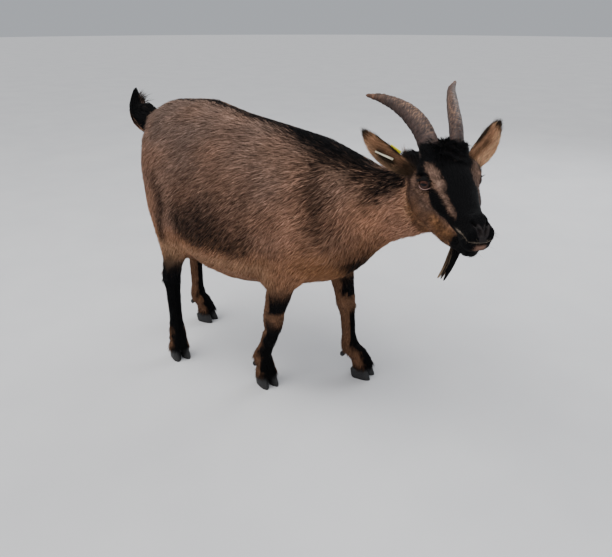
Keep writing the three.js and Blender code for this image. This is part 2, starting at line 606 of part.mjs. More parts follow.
function build() {
  const trunkBox = { low: [-460, -230, 250], high: [400, 230, 790] };
  let trunk = region(trunkBox, CELL.trunk)
    .subtract(ahead(SHOULDER, -GAP));
  for (const kind of ['fore', 'hind'])
    for (const [, side] of SIDES) trunk = trunk.subtract(legSpace(kind, side, GAP));
  addNode('trunk', largest(trunk), COLOUR.coat);

  const neck = region({ low: [230, -170, 340], high: [560, 120, 760] }, CELL.neck)
    .intersect(ahead(SHOULDER, 0)).subtract(ahead(NAPE, -GAP));
  addNode('neck', largest(neck), COLOUR.coat);

  const skullBox = boxOf(boxCorners([-120, -92, -130], [172, 92, 88]).map(fromHead), 0);
  let skull = region(skullBox, CELL.head).intersect(ahead(NAPE, 0));
  const swollen = region(skullBox, CELL.head, 1.2);
  for (const [name, side] of SIDES) {
    addNode(`horn_${name}`, largest(horn(side).subtract(swollen).subtract(skull)), COLOUR.horn, 0.6);
    addNode(`eye_${name}`, eye(side), COLOUR.eye, 0.1);
    skull = skull.subtract(eye(side, GAP));
  }
  skull = largest(skull);
  addNode('head', skull, COLOUR.dark);
  for (const [name, side] of SIDES) {
    let shell = largest(ear(side).subtract(swollen).subtract(skull));
    if (side < 0) {
      for (const [word, colour] of [['strip', COLOUR.cream], ['button', COLOUR.yellow]]) {
        const { t, lift, across, size, turn } = TAG[word];
        const where = onEar(side, t, lift, across);
        addNode(`tag_${word}`, largest(slabAt(where, size, turn)), colour, 0.4);
        shell = shell.subtract(slabAt(where, size.map((v) => v + 2 * GAP), turn));
      }
      shell = largest(shell).simplify(0.05);
    }
    addNode(`ear_${name}`, shell, COLOUR.coat);
  }

  addNode('tail', largest(tailSolid().subtract(region(trunkBox, CELL.trunk, 1.5)).subtract(trunk)), COLOUR.dark);
  addNode('beard', largest(beardSolid().subtract(swollen).subtract(skull)), COLOUR.dark);

  for (const [name, foot] of Object.entries(FEET)) {
    const kind = name.split('_')[0];
    const [x, y] = foot.knee;
    const box = { low: [Math.min(x, foot.top[0]) - 110, y - 130, 170], high: [Math.max(x, foot.top[0]) + 130, y + 130, 480] };
    const split = halfSpace([...foot.knee.slice(0, 2), foot.knee[2] - 4], [0, 0, 1]);
    const below = halfSpace([...foot.knee.slice(0, 2), foot.knee[2] - 4 - GAP], [0, 0, -1]);
    const upper = region(box, CELL.upper).intersect(legSpace(kind, foot.side, 0)).intersect(split);
    addNode(`${kind}leg_upper_${name.split('_')[1]}`, largest(upper), COLOUR.coat);
    let lower = region({ low: [Math.min(x, foot.sole[0]) - 70, y - 60, 10], high: [Math.max(x, foot.sole[0]) + 70, y + 60, 280] },
      CELL.lower).intersect(below).intersect(aboveCoronet(foot, GAP));
    for (const [word, side] of [['outer', foot.side], ['inner', -foot.side]]) {
      const dew = dewclaw(foot, side);
      lower = lower.subtract(dew.solid(GAP));
      addNode(`dewclaw_${word}_${name}`, dew.solid(0), COLOUR.hoof, 0.5);
      addNode(`hoof_${word}_${name}`, claw(foot, side), COLOUR.hoof, 0.5);
    }
    addNode(`${kind}leg_lower_${name.split('_')[1]}`, largest(lower), COLOUR.dark);
  }
}

// ---------------------------------------------------------------- tail and beard
const TAIL = { path: [[-340, 0, 650], [-398, 0, 662], [-434, 0, 678], [-448, 0, 706], [-445, 0, 748]],
  halfWidth: [19, 25, 24, 14, 2.5], halfDepth: [29, 38, 34, 17, 2.5] };

function taperedTube({ path, halfWidth, halfDepth }, across, steps, sides) {
  const curve = spline(path);
  const list = (values, t) => {
    const at = t * (values.length - 1);
    const i = Math.min(Math.floor(at), values.length - 2);
    return values[i] + (values[i + 1] - values[i]) * (at - i);
  };
  const rings = [];
  for (let r = 0; r <= steps; r++) {
    const t = r / steps;
    const tangent = curve.getTangent(t).toArray();
    const out = unit(cross(cross(tangent, across), tangent));
    rings.push(ring(curve.getPoint(t).toArray(), out, cross(tangent, out), list(halfWidth, t), list(halfDepth, t), sides));
  }
  return loft(rings);
}

const tailSolid = () => taperedTube(TAIL, [0, 1, 0], 9, 10);
const BEARD = { path: [[77, 0, -82], [73, 0, -106], [64, 0, -146], [49, 0, -184]].map(fromHead),
  halfWidth: [10, 11, 8, 2.5], halfDepth: [16, 14, 9, 2.5] };
const beardSolid = () => taperedTube(BEARD, sub(fromHead([0, 1, 0]), fromHead([0, 0, 0])), 7, 8);

build();

// The shared frame's origin: the middle of the footprint of the whole, on the floor.
const whole = new THREE.Box3().setFromObject(nodes);
const shift = [-(whole.min.x + whole.max.x) / 2, -(whole.min.y + whole.max.y) / 2, -whole.min.z];
for (const mesh of nodes.children) mesh.geometry.translate(...shift);
nodes.userData.shift = shift;
export default nodes;
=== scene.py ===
"""A standing goat doe, life size: one skin, a coat of solid tufts, horns, eyes, hooves and ear tag."""
import math

import bmesh
import bpy
import numpy as np
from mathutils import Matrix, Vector
from mathutils.bvhtree import BVHTree
from mathutils.kdtree import KDTree


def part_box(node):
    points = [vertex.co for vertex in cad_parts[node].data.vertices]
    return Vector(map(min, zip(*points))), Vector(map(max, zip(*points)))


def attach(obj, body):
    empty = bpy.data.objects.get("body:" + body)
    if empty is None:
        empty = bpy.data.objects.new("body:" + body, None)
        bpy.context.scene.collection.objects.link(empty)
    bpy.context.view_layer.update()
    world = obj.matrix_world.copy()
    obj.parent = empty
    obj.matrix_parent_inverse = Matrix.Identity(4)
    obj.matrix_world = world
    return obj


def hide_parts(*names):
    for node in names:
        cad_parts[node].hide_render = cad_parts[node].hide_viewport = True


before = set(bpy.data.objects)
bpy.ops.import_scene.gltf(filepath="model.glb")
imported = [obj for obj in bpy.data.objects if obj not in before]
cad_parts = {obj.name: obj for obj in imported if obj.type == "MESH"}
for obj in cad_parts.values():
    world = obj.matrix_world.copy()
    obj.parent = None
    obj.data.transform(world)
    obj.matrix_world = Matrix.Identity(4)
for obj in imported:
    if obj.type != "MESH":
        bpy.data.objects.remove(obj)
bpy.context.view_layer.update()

# ---------------------------------------------------------------------------------------------
# Places. Shapes are worked out in the goat's own millimetres (x forward, y to its left, z up),
# and in the head's own millimetres (x to the nose, origin between the eyes).
MM = 0.001
HEAD_YAW, HEAD_PITCH, HEAD_SCALE = math.radians(-43), math.radians(12), 1.02
HEAD_AT = np.array([540.0, -112.0, 652.0])
EYE_AT = np.array([4.0, 45.0, -1.0])
EYE_RADIUS = 15.5
EYE_GAZE = np.array([0.60, 0.79, 0.06])
HORN_PATH = [
    (-44, 27, 20), (-56, 29, 46), (-86, 36, 68), (-127, 46, 81), (-169, 59, 87), (-212, 76, 89),
    (-243, 97, 90),
]
HORN_WIDE = [14, 14, 13.5, 12.5, 11, 8, 2.5]
HORN_DEEP = [24, 24, 22.5, 19, 14, 9.5, 3]
EAR_ROOT = np.array([-52.0, 58.0, -8.0])
EAR_TIP = {"right": np.array([-108.0, -143.0, 53.0]), "left": np.array([-107.0, 145.0, 63.0])}
EAR_OPENS = {"right": np.array([0.8, 0.0, -0.35]), "left": np.array([0.85, 0.3, 0.4])}
TAIL_PATH = [(-340, 0, 650), (-398, 0, 662), (-434, 0, 678), (-448, 0, 706), (-445, 0, 748)]
TOES = {"fore_right": -24, "fore_left": 6, "hind_right": -26, "hind_left": 8}  # degrees, to the left
HIND_X = -60  # what stands behind this is a hind leg
SIDES = {"right": -1, "left": 1}

LEGS = [f"{end}leg_{part}" for end in ("fore", "hind") for part in ("upper", "lower")]
LEG_PARTS = [f"{leg}_{side}" for leg in LEGS for side in SIDES]
FLESH = ["trunk", "neck", "head", "ear_right", "ear_left", "tail", *LEG_PARTS]

# What changes from one region of the coat to the next, in millimetres. The density is in tufts to a
# square centimetre. INSET is how far the skin lies under the outline, WIDTH the width of a tuft.
REGIONS = ["trunk", "neck", "head", "ear", "tail", "upper", "lower"]
TRUNK, NECK, HEAD, EAR, TAIL, UPPER, LOWER = range(len(REGIONS))
INSET = np.array([8.0, 7.5, 2.0, 1.5, 12.0, 5.0, 2.2])
LENGTH = np.array([25.0, 22.0, 9.5, 8.5, 38.0, 18.0, 12.0])
RISE = np.array([6.6, 6.0, 2.2, 1.1, 9.0, 4.6, 3.0])
WIDTH = np.array([1.45, 1.35, 1.05, 0.9, 1.6, 1.35, 1.3])
DENSITY = np.array([11.0, 12.8, 40.0, 36.0, 8.0, 12.6, 24.0])


def centre_of(node):
    lo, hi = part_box(node)
    return (np.array(lo) + np.array(hi)) / 2


def head_turn():
    cy, sy = math.cos(HEAD_YAW), math.sin(HEAD_YAW)
    cp, sp = math.cos(HEAD_PITCH), math.sin(HEAD_PITCH)
    yaw = np.array([[cy, -sy, 0], [sy, cy, 0], [0, 0, 1]])
    return yaw @ np.array([[cp, 0, sp], [0, 1, 0], [-sp, 0, cp]])


TURN = head_turn()


def from_head(points):
    return np.asarray(points, float) @ TURN.T * HEAD_SCALE + HEAD_AT


def to_head(points):
    return (np.asarray(points, float) - HEAD_AT) @ TURN / HEAD_SCALE


EYES_MID = (centre_of("eye_right") + centre_of("eye_left")) / 2
ORIGIN = EYES_MID - from_head([EYE_AT[0], 0, EYE_AT[2]]) * MM


def to_scene(points):
    return np.asarray(points, float) * MM + ORIGIN


def to_goat(points):
    return (np.asarray(points, float) - ORIGIN) / MM


def sided(point, sign):
    return np.array([point[0], point[1] * sign, point[2]], float)


def folded(h):
    """Head-frame places with both sides laid on one."""
    return np.stack([h[:, 0], np.abs(h[:, 1]), h[:, 2]], 1)


def cast(surface, start, aim):
    """Ray from a place and along a direction in the head's frame; the hit is in the scene's metres."""
    return surface.ray_cast(Vector(to_scene(from_head(start))), Vector(TURN @ aim))


# ---------------------------------------------------------------------------------------------
# Small sums used everywhere


def soft(a, b, value):
    """0 before a, 1 after b, smooth between; a may be the larger."""
    t = np.clip((np.asarray(value, float) - a) / (b - a), 0, 1)
    return t * t * (3 - 2 * t)


def hill(centre, half, value):
    """1 at the centre, falling smoothly to about a third at `half` from it."""
    return np.exp(-(((value - centre) / half) ** 2))


def mix(a, b, t):
    t = np.asarray(t, float)[..., None] if np.ndim(a) > 1 or np.ndim(b) > 1 or np.ndim(t) else t
    return np.asarray(a, float) * (1 - t) + np.asarray(b, float) * t


def laid_over(base, *layers):
    """A colour with others laid over it in turn, each (colour, share)."""
    for colour, share in layers:
        base = mix(base, colour, share)
    return base


def unit(v):
    v = np.asarray(v, float)
    return v / np.maximum(np.linalg.norm(v, axis=-1, keepdims=True), 1e-9)


def flattened(v, n):
    """Directions turned to lie in the surface whose normals are n."""
    return unit(v - n * (v * n).sum(1, keepdims=True))


def fitted(values):
    """Values moved and scaled to run from 0 to 1."""
    return (values - values.min()) / max(np.ptp(values), 1e-6)


def turns(sides):
    """Angles of the corners of a ring."""
    return np.linspace(0, 2 * math.pi, sides, endpoint=False)


def wobble(points, size, seed, waves=7):
    """Smooth uneven pattern between about -1 and 1, with lumps about `size` millimetres across."""
    rng = np.random.default_rng(seed)
    total = 0
    for _ in range(waves):
        k = unit(rng.normal(size=3)) * 2 * math.pi / (size * rng.uniform(1.3, 2.6))
        total = total + np.sin(points @ k + rng.uniform(0, 6.28))
    return total / math.sqrt(waves) / 1.1


def drift(points, size, seed):
    """Such a pattern in each of the three directions."""
    return np.stack([wobble(points, size, seed + k) for k in range(3)], 1)


def srgb(*rgb):
    c = np.array(rgb, float) / 255
    return np.where(c <= 0.04045, c / 12.92, ((c + 0.055) / 1.055) ** 2.4)


def smooth_path(points, count):
    """`count` points along a smooth curve through the given ones."""
    p = np.asarray(points, float)
    p = np.vstack([2 * p[0] - p[1], p, 2 * p[-1] - p[-2]])
    at = np.linspace(0, len(p) - 3 - 1e-9, count)
    i = at.astype(int)
    t = (at - i)[:, None]
    a, b, c, d = p[i], p[i + 1], p[i + 2], p[i + 3]
    return 0.5 * (2 * b + (c - a) * t + (2 * a - 5 * b + 4 * c - d) * t**2 + (3 * b - a - 3 * c + d) * t**3)


def nearest_on_path(points, path):
    """Distance of each point from a line of points, and how far along it (0 to its last index) that is."""
    path = np.asarray(path, float)
    best = np.full(len(points), 1e9)
    place = np.zeros(len(points))
    for k, (a, b) in enumerate(zip(path[:-1], path[1:])):
        t = np.clip((points - a) @ (b - a) / ((b - a) @ (b - a)), 0, 1)
        gap = np.linalg.norm(points - a - t[:, None] * (b - a), axis=1)
        place = np.where(gap < best, k + t, place)
        best = np.minimum(best, gap)
    return best, place


def path_distance(points, path):
    return nearest_on_path(points, path)[0]


# ---------------------------------------------------------------------------------------------
# Making pieces


def new_mesh(name, points, faces, tint=None, uv=None):
    faces = np.asarray(faces)
    me = bpy.data.meshes.new(name)
    me.vertices.add(len(points))
    me.vertices.foreach_set("co", to_scene(points).astype(np.float32).ravel())
    me.loops.add(faces.size)
    me.loops.foreach_set("vertex_index", faces.astype(np.int32).ravel())
    me.polygons.add(len(faces))
    me.polygons.foreach_set("loop_start", np.arange(0, faces.size, faces.shape[1], dtype=np.int32))
    me.update(calc_edges=True)
    me.polygons.foreach_set("use_smooth", np.ones(len(faces), bool))
    if tint is not None:
        paint(me, tint)
    if uv is not None:
        layer = me.uv_layers.new(name="OFBake")
        layer.data.foreach_set("uv", uv[faces.ravel()].astype(np.float32).ravel())
    return me


def paint(me, tint):
    layer = me.color_attributes.new("tint", "FLOAT_COLOR", "POINT")
    rgba = np.ones((len(tint), 4), np.float32)
    rgba[:, :3] = np.clip(tint, 0, 1)
    layer.data.foreach_set("color", rgba.ravel())


def in_scene(name, data):
    ob = bpy.data.objects.new(name, data)
    bpy.context.scene.collection.objects.link(ob)
    return ob


def add_piece(name, me, material, slot, *nodes):
    """A finished piece that rides on the root, and the solids it takes the place of; the slot is not used."""
    me.materials.clear()
    me.materials.append(material)
    ob = in_scene(name, me)
    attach(ob, "root")
    if nodes:
        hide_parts(*nodes)


def mesh_arrays(me):
    """Points in the goat's millimetres and triangles of a mesh."""
    me.calc_loop_triangles()
    co = np.empty(len(me.vertices) * 3, np.float32)
    me.vertices.foreach_get("co", co)
    tri = np.empty(len(me.loop_triangles) * 3, np.int32)
    me.loop_triangles.foreach_get("vertices", tri)
    return to_goat(co.reshape(-1, 3)), tri.reshape(-1, 3)


def evaluated(ob):
    """Plain mesh of a working object with its modifiers done; the object itself is removed."""
    deps = bpy.context.evaluated_depsgraph_get()
    done = bpy.data.meshes.new_from_object(ob.evaluated_get(deps))
    bpy.data.objects.remove(ob)
    return done


def with_modifier(me, kind, weights=None, **settings):
    """The mesh after a modifier. Weights go in as a vertex group, in quarters."""
    ob = in_scene("work", me)
    mod = ob.modifiers.new(kind.lower(), kind)
    for key, value in settings.items():
        setattr(mod, key, value)
    if weights is not None:
        group = ob.vertex_groups.new(name="share")
        for level in range(1, 5):
            chosen = np.nonzero(np.round(weights * 4) == level)[0]
            group.add(chosen.tolist(), level / 4, "REPLACE")
        mod.vertex_group = "share"
    return evaluated(ob)


def solid_of(node):
    """Edit mesh of one of the goat's solids, with its doubled corners joined."""
    bm = bmesh.new()
    bm.from_mesh(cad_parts[node].data)
    bmesh.ops.remove_doubles(bm, verts=bm.verts, dist=1e-5)
    return bm


def kept(bm, name):
    """Mesh of what an edit mesh holds; the edit mesh is freed."""
    me = bpy.data.meshes.new(name)
    bm.to_mesh(me)
    bm.free()
    return me


def triangle_normals(co, tri):
    return np.cross(co[tri[:, 1]] - co[tri[:, 0]], co[tri[:, 2]] - co[tri[:, 0]])


def point_normals(co, tri):
    flat = triangle_normals(co, tri)
    total = np.zeros_like(co)
    for k in range(3):
        for axis in range(3):
            total[:, axis] += np.bincount(tri[:, k], flat[:, axis], len(co))
    return unit(total)


def edges_of(tri):
    pairs = np.sort(np.vstack([tri[:, [0, 1]], tri[:, [1, 2]], tri[:, [2, 0]]]), axis=1)
    return np.unique(pairs, axis=0)


def averaged(values, edges):
    """Each point's mean of its neighbours."""
    a, b = edges.T
    n = len(values)
    count = np.bincount(a, minlength=n) + np.bincount(b, minlength=n)
    total = [np.bincount(a, v[b], n) + np.bincount(b, v[a], n) for v in values.T]
    return np.stack(total, 1) / np.maximum(count, 1)[:, None]


def relaxed(co, edges, steps, share=1.0):
    """Smooths without shrinking."""
    for _ in range(steps):
        for pull in (0.5, -0.52):
            co = co + pull * share * (averaged(co, edges) - co)
    return co


def outward(co, tri):
    """Turns the triangles round if the closed shape is inside out."""
    tri = np.asarray(tri)
    c = co - co.mean(0)
    volume = (c[tri[:, 0]] * np.cross(c[tri[:, 1]], c[tri[:, 2]])).sum()
    return tri if volume > 0 else tri[:, ::-1]


def halved(quads):
    """Two triangles for each quad."""
    return np.vstack([quads[:, [0, 1, 2]], quads[:, [0, 2, 3]]])


def copies(faces, count, each):
    """The faces of one shape, again for each of `count` shapes of `each` points."""
    return (faces[None] + (np.arange(count) * each)[:, None, None]).reshape(-1, 3)


def tube_faces(rings, sides):
    """Quads of a tube of rings, as index rows; the two ends are left open."""
    i, j = np.meshgrid(np.arange(rings - 1), np.arange(sides), indexing="ij")
    k = (j + 1) % sides
    corners = [i * sides + j, i * sides + k, (i + 1) * sides + k, (i + 1) * sides + j]
    return np.stack(corners, -1).reshape(-1, 4)


def closed_tube(rings, sides):
    """Triangles of a tube whose ends run to one point each: the last two points of the mesh."""
    j = np.arange(sides)
    k = (j + 1) % sides
    last = (rings - 1) * sides
    first_cap = np.stack([np.full(sides, rings * sides), k, j], 1)
    last_cap = np.stack([np.full(sides, rings * sides + 1), last + j, last + k], 1)
    return np.vstack([halved(tube_faces(rings, sides)), first_cap, last_cap])


# ---------------------------------------------------------------------------------------------
# Markings: one set of rules for skin and coat. Colours are linear light.
TAN = srgb(163, 123, 101)
GREY_TAN = srgb(138, 115, 103)
ORANGE_TAN = srgb(163, 114, 75)
PALE_TAN = srgb(188, 148, 116)
BLACK = srgb(5, 5, 7)
UMBER = srgb(50, 38, 32)
OLIVE_BLACK = srgb(24, 21, 14)
PINK_LIP = srgb(154, 118, 102)
LIP_EDGE = srgb(158, 143, 126)
FACE_SHADE, LEG_SHADE, EAR_SHADE = 0.90, 0.52, 0.72  # the short hair holds less shadow of its own
EYE_FRONT = EYE_AT + unit(EYE_GAZE) * 14  # middle of the opening between the lids

MIDLINE_X = [-330, -200, -60, 100, 230, 300, 340, 420, 480, 540]
MIDLINE_Y = [7, 9, 15, 14, 2, -10, -22, -54, -84, -110]
STRIPE_X = [-330, -200, -100, 0, 50, 95, 180, 250, 280, 340, 420, 480]
STRIPE_HALF = [12, 18, 19, 22, 32, 48, 58, 59, 46, 29, 24, 32]
PALE_PATH = [
    (-3, 48, 31), (24, 39, 22), (39, 36, 10), (52, 35.5, -1), (66, 33, -9), (84, 28.5, -18), (100, 26, -24),
]
PALE_HALF = [6, 10, 8.5, 4.8, 4.2, 4.6, 2]
STREAK_PATH = [
    (24, 50, -5), (36, 47, -10), (48, 44, -17), (60, 40, -24), (70, 36, -31), (86, 30, -40), (102, 27, -42),
]
STREAK_HALF = [8, 12, 14, 15, 15, 15, 15]
NOSTRIL = [(155, 5, -26), (151, 5.5, -22), (146, 7.5, -18.5), (140, 10, -17), (133, 12.5, -16)]
MOUTH = [
    (80, 33, -54), (90, 31, -48), (103, 28, -43), (122, 27, -41), (142, 22, -40), (153, 13, -42),
    (157, 0, -43),
]
JAW_FOLD = [(-76, 60, -26), (-82, 50, -50), (-67, 50, -75), (-61, 46, -94), (-60, 38, -122)]


def any_of(*shares):
    """Share covered by any of the markings."""
    light = 1 - shares[0]
    for share in shares[1:]:
        light = light * (1 - share)
    return 1 - light


def along_path(m, path, halves):
    """Distance from a marking's middle line and the marking's half width there."""
    gap, place = nearest_on_path(m, path)
    return gap, np.interp(place, range(len(halves)), halves)


def body_marks(p, n):
    """How dark (0 to 1), how orange and how pale below the trunk and neck are."""
    x, y, z = p.T
    ragged = 9 * wobble(p, 46, 3) + 5 * wobble(p, 17, 4)
    aside = np.abs(y - np.interp(x, MIDLINE_X, MIDLINE_Y))
    half = np.interp(x, STRIPE_X, STRIPE_HALF)
    spread = np.interp(x, [-330, 0, 120, 300, 480], [6, 9, 20, 20, 12])
    stripe = soft(half + spread, half - spread, aside + ragged * spread / 16) * soft(0.0, 0.35, n[:, 2])
    lateral = soft(0.25, 0.6, np.abs(n[:, 1]))
    band_x = np.interp(z, [440, 510, 564, 630], [266, 255, 243, 222])
    band = 0.72 * hill(band_x, 38, x + ragged * 0.8) * soft(430, 500, z)
    edge = np.interp(x, [-170, -84, 55, 120], [414, 404, 403, 428])
    flank = soft(edge - 6, edge + 8, z + ragged * 0.5) * soft(630, 455, z + ragged * 1.6) * lateral
    flank = flank * soft(-196, -156, x + ragged * 0.6) * soft(160, 5, x + ragged * 1.6) * 0.84
    thigh_x = np.interp(z, [330, 410, 496, 544, 575], [-226, -234, -216, -238, -268])
    thigh = 0.85 * hill(thigh_x, 15, x + ragged * 0.5) * soft(590, 530, z) * lateral
    brisket = soft(452, 405, z + ragged) * soft(255, 292, x + ragged * 0.5) * soft(112, 84, np.abs(y)) * 0.93
    under = 0.75 * soft(95, 45, np.abs(y) + ragged) * soft(-0.45, -0.8, n[:, 2]) * soft(200, 160, x)
    nape = 0.75 * soft(0.35, 0.75, n[:, 2]) * soft(405, 450, x)
    dark = any_of(stripe, band, flank, thigh, brisket, under, nape)
    orange = soft(120, 230, x) * 0.22 + soft(460, 390, z) * 0.6
    orange = orange + soft(-225, -262, x) * soft(560, 500, z) * 0.35
    orange = np.clip(orange + 0.5 * soft(240, 320, x) * soft(520, 430, z) + 0.12 * wobble(p, 70, 5), 0, 1)
    belly = soft(400, 384, z + ragged * 0.4) * soft(-0.75, -0.3, n[:, 2]) * lateral * soft(150, 90, x)
    return dark, orange, belly


def leg_marks(p, n):
    """How dark the legs are: black fronts with a tan knee and tan behind, blacker on the goat's right."""
    x, y, z = p.T
    ragged = 0.10 * wobble(p, 24, 8) + 0.08 * wobble(p, 9, 9)
    dark = np.zeros(len(p))
    for name, toe in TOES.items():
        fore, right = name.startswith("fore"), name.endswith("right")
        mine = (x > HIND_X if fore else x <= HIND_X) & (y < 0 if right else y >= 0)
        a = math.radians(toe)
        facing = n[:, 0] * math.cos(a) + n[:, 1] * math.sin(a) + ragged
        stripe = soft(*((-0.15, 0.3) if right else (0.3, 0.62)), facing)
        if fore:
            knee = hill(229, 20, z + 60 * ragged) * soft(-0.2, 0.5, facing)
            patch = soft(0.1, 0.42, facing) * soft(318, 306, z + 60 * ragged)
            one = np.where(z > 245, patch, stripe * (1 - 0.95 * knee)) * soft(330, 308, z + 40 * ragged)
        else:
            high = soft(*((-0.55, -0.1) if right else (0.25, 0.6)), facing)
            one = np.where(z > 110, high, stripe) * soft(372, 335, z + 60 * ragged)
        low = soft(0.35, 0.65, facing)
        one = one + (low - one) * soft(112, 92, z)
        one = np.maximum(one, 0.85 * soft(46, 38, z + 30 * ragged))
        dark = np.where(mine, one, dark)
    return dark


def mouth_marks(p, m, hn):
    """Light edge along the upper lip, and the pink of the lower one."""
    x, y, z = m.T
    above = soft(-1.5, 0.8, z - np.interp(x, *np.array(MOUTH).T[[0, 2]]))
    lip = soft(2.8, 1.0, np.abs(path_distance(m, MOUTH) - 2.6) + 0.5 * wobble(p, 6, 23))
    lip = lip * soft(98, 112, x) * (1 - 0.3 * soft(138, 152, x)) * above
    lower = soft(0.2, 0.5, hn[:, 0]) * soft(-44, -49, z) * soft(-64, -55, z) * soft(12, 6, y)
    return lip, lower


def head_marks(p, n, grain):
    """Shares over the head: dark, orange, pale stripe, lip's light edge, pink lower lip, jaw's fold."""
    m, hn = folded(to_head(p)), n @ TURN
    x, y, z = m.T
    ragged = 3.0 * wobble(p, 15, 13) + 1.8 * wobble(p, 6, 14)
    gap, half = along_path(m, PALE_PATH, PALE_HALF)
    pale = soft(half + 2.2, half - 2.2, gap + 0.6 * ragged)
    pale = pale * soft(-16, -5, x + ragged) * soft(112, 90, x + ragged)
    line_x, line_y, line_z = np.array(PALE_PATH).T
    inward = z - np.interp(x, line_x, line_z) + np.interp(x, line_x, line_y) - y
    blaze = soft(-3, 3, inward + 0.4 * ragged)
    gap, half = along_path(m, STREAK_PATH, STREAK_HALF)
    streak = soft(half + 2, half - 2, gap + 0.6 * ragged)
    temple = soft(-6, 4, z + ragged * 0.5) * soft(-10, -20, x + ragged * 0.3)
    brow = soft(5, 11, z + ragged * 0.4) * soft(26, 15, x + ragged * 0.3)
    ear_seat = soft(-40, -54, x + ragged * 0.4) * soft(-30, -16, z + ragged * 0.5) * 0.94
    muzzle = soft(88, 99, x + ragged - 0.30 * (z + 40)) * soft(-118, -100, z)
    chin = soft(-62, -74, z + ragged * 0.3) * soft(66, 86, x + ragged)
    smudge = 0.42 * soft(24, 8, np.linalg.norm(m - [30, 50, -44], axis=1) + ragged)
    poll = soft(-64, -84, x + ragged) * soft(-28, 0, z + ragged)
    fade = np.interp(x, [0, 30, 60, 95], [1.0, 0.92, 0.78, 0.6])
    dark = any_of(blaze, streak, temple, brow, ear_seat, muzzle, chin, smudge, poll)
    dark = dark * (1 - (fade - 0.45 * soft(0.0, 0.9, wobble(p, 8, 17))) * pale)
    dark = np.maximum(dark, 0.8 * pale * soft(0.58, 0.84, grain))
    eye_gap = np.linalg.norm(m - EYE_FRONT, axis=1)
    ring = soft(23, 17, eye_gap + ragged * 0.4) * soft(0, -8, z + ragged * 0.4) * soft(20, 8, x)
    dark = dark * (1 - 0.8 * ring)
    mottle = 0.26 * soft(0.0, 0.9, wobble(p, 19, 15)) + 0.3 * soft(0.2, 1.0, wobble(p, 7, 18))
    mottle = mottle + 0.4 * soft(0.55, 0.95, grain)
    dark = np.clip(np.maximum(dark, mottle), 0, 1)
    orange = np.clip(soft(-42, -80, z) * 0.75 + 0.2 * wobble(p, 24, 16), 0, 1)
    fold = soft(10, 4, path_distance(m, JAW_FOLD) + ragged * 0.25) * soft(-135, -100, z)
    return dark, orange, pale, *mouth_marks(p, m, hn), fold


def ear_marks(p, n, weight):
    """Colour of the ears: tan with a black tip and upper rim, painted shade at the root of the cup, and a cup
    paler inside, on the left ear much paler by painted light shining through the thin ear.
    """
    out = np.tile(mix(TAN, ORANGE_TAN, 0.5), (len(p), 1))
    h, hn = to_head(p), n @ TURN
    for side, sign in SIDES.items():
        mine = (np.sign(h[:, 1]) == sign) & (weight > 0.02)
        if not mine.any():
            continue
        root, tip = sided(EAR_ROOT, sign), EAR_TIP[side]
        along = unit(tip - root)
        t = (h[mine] - root) @ along / np.linalg.norm(tip - root)
        across = unit(np.cross(EAR_OPENS[side], along))
        up = across * np.sign(across[2])
        rim = (h[mine] - root) @ up
        inside = hn[mine] @ unit(EAR_OPENS[side])
        ragged = 0.03 * wobble(p[mine], 12, 21)
        dark = soft(0.77, 0.88, t + ragged) * 0.97
        half = np.interp(t, [0, 0.2, 0.5, 0.8, 0.95, 1], [12, 20, 22, 17, 9, 4])
        cupped = inside - 0.9 * np.clip(rim / half, -1, 1) * (hn[mine] @ up)
        dark = np.maximum(dark, soft(0.74, 0.90, rim / half + 2 * ragged) * soft(0.15, 0.35, t) * 0.95)
        dark = np.maximum(dark, soft(0.25, -0.1, inside) * soft(0.5, 0.2, t) * 0.9)
        dark = np.maximum(dark, soft(0.24, 0.12, t + ragged) * 0.85)
        # Painted shade: the root of the cup is darkened where shade falls deep inside it, more on the right
        # ear than on the left.
        painted_hollow_shade = soft(0.64, 0.54, t + ragged) * soft(0.12, 0.26, t) * soft(0.0, 0.3, cupped)
        if side == "right":
            painted_hollow_shade = painted_hollow_shade * (hill(-8, 12, rim) * 0.99)
        else:
            painted_hollow_shade = painted_hollow_shade * (hill(1, 6, rim + 60 * ragged) * 0.6)
        col = mix(mix(TAN, ORANGE_TAN, 0.55), PALE_TAN, 0.25 + 0.6 * soft(-3, -14, rim))
        # Both cups are a little paler inside; the much stronger lift on the left ear is painted light shining
        # through the thin ear.
        lining_and_painted_glow = 1 + (1.1 if side == "left" else 0.1) * soft(0.0, 0.5, cupped)
        col = mix(col * EAR_SHADE * lining_and_painted_glow[:, None], OLIVE_BLACK, np.maximum(dark, painted_hollow_shade))
        out[mine] = col
    return out


def body_colour(p, n, grain):
    """Trunk and neck: grey above, orange in front and below, with the black markings."""
    x, _, z = p.T
    dark, orange, belly = body_marks(p, n)
    dark = np.clip(dark + 1.6 * (grain - 0.5) * dark * (1 - dark) * 2, 0, 1)
    grey = soft(-0.2, 0.75, n[:, 2]) * 0.7 + soft(-40, -200, x) * 0.25 + 0.15 * wobble(p, 60, 2)
    body = laid_over(TAN * 1.1, (GREY_TAN * 1.1, np.clip(grey, 0, 1)), (ORANGE_TAN, orange * 0.8))
    # Painted light: the upper neck is brightened.
    body = body * (1 + 0.30 * soft(130, 260, x) * soft(450, 540, z) * soft(470, 400, x))[:, None]
    patchy = 0.13 * wobble(p, 34, 41) + 0.11 * wobble(p, 14, 42)
    # Painted shade: the lower neck is darkened.
    lower_neck_painted_shade = soft(250, 330, x) * soft(500, 420, z)
    body = body * ((1 + patchy) * (1 - 0.42 * lower_neck_painted_shade))[:, None]
    return laid_over(body, (BLACK, dark), (PALE_TAN, belly * 0.7))


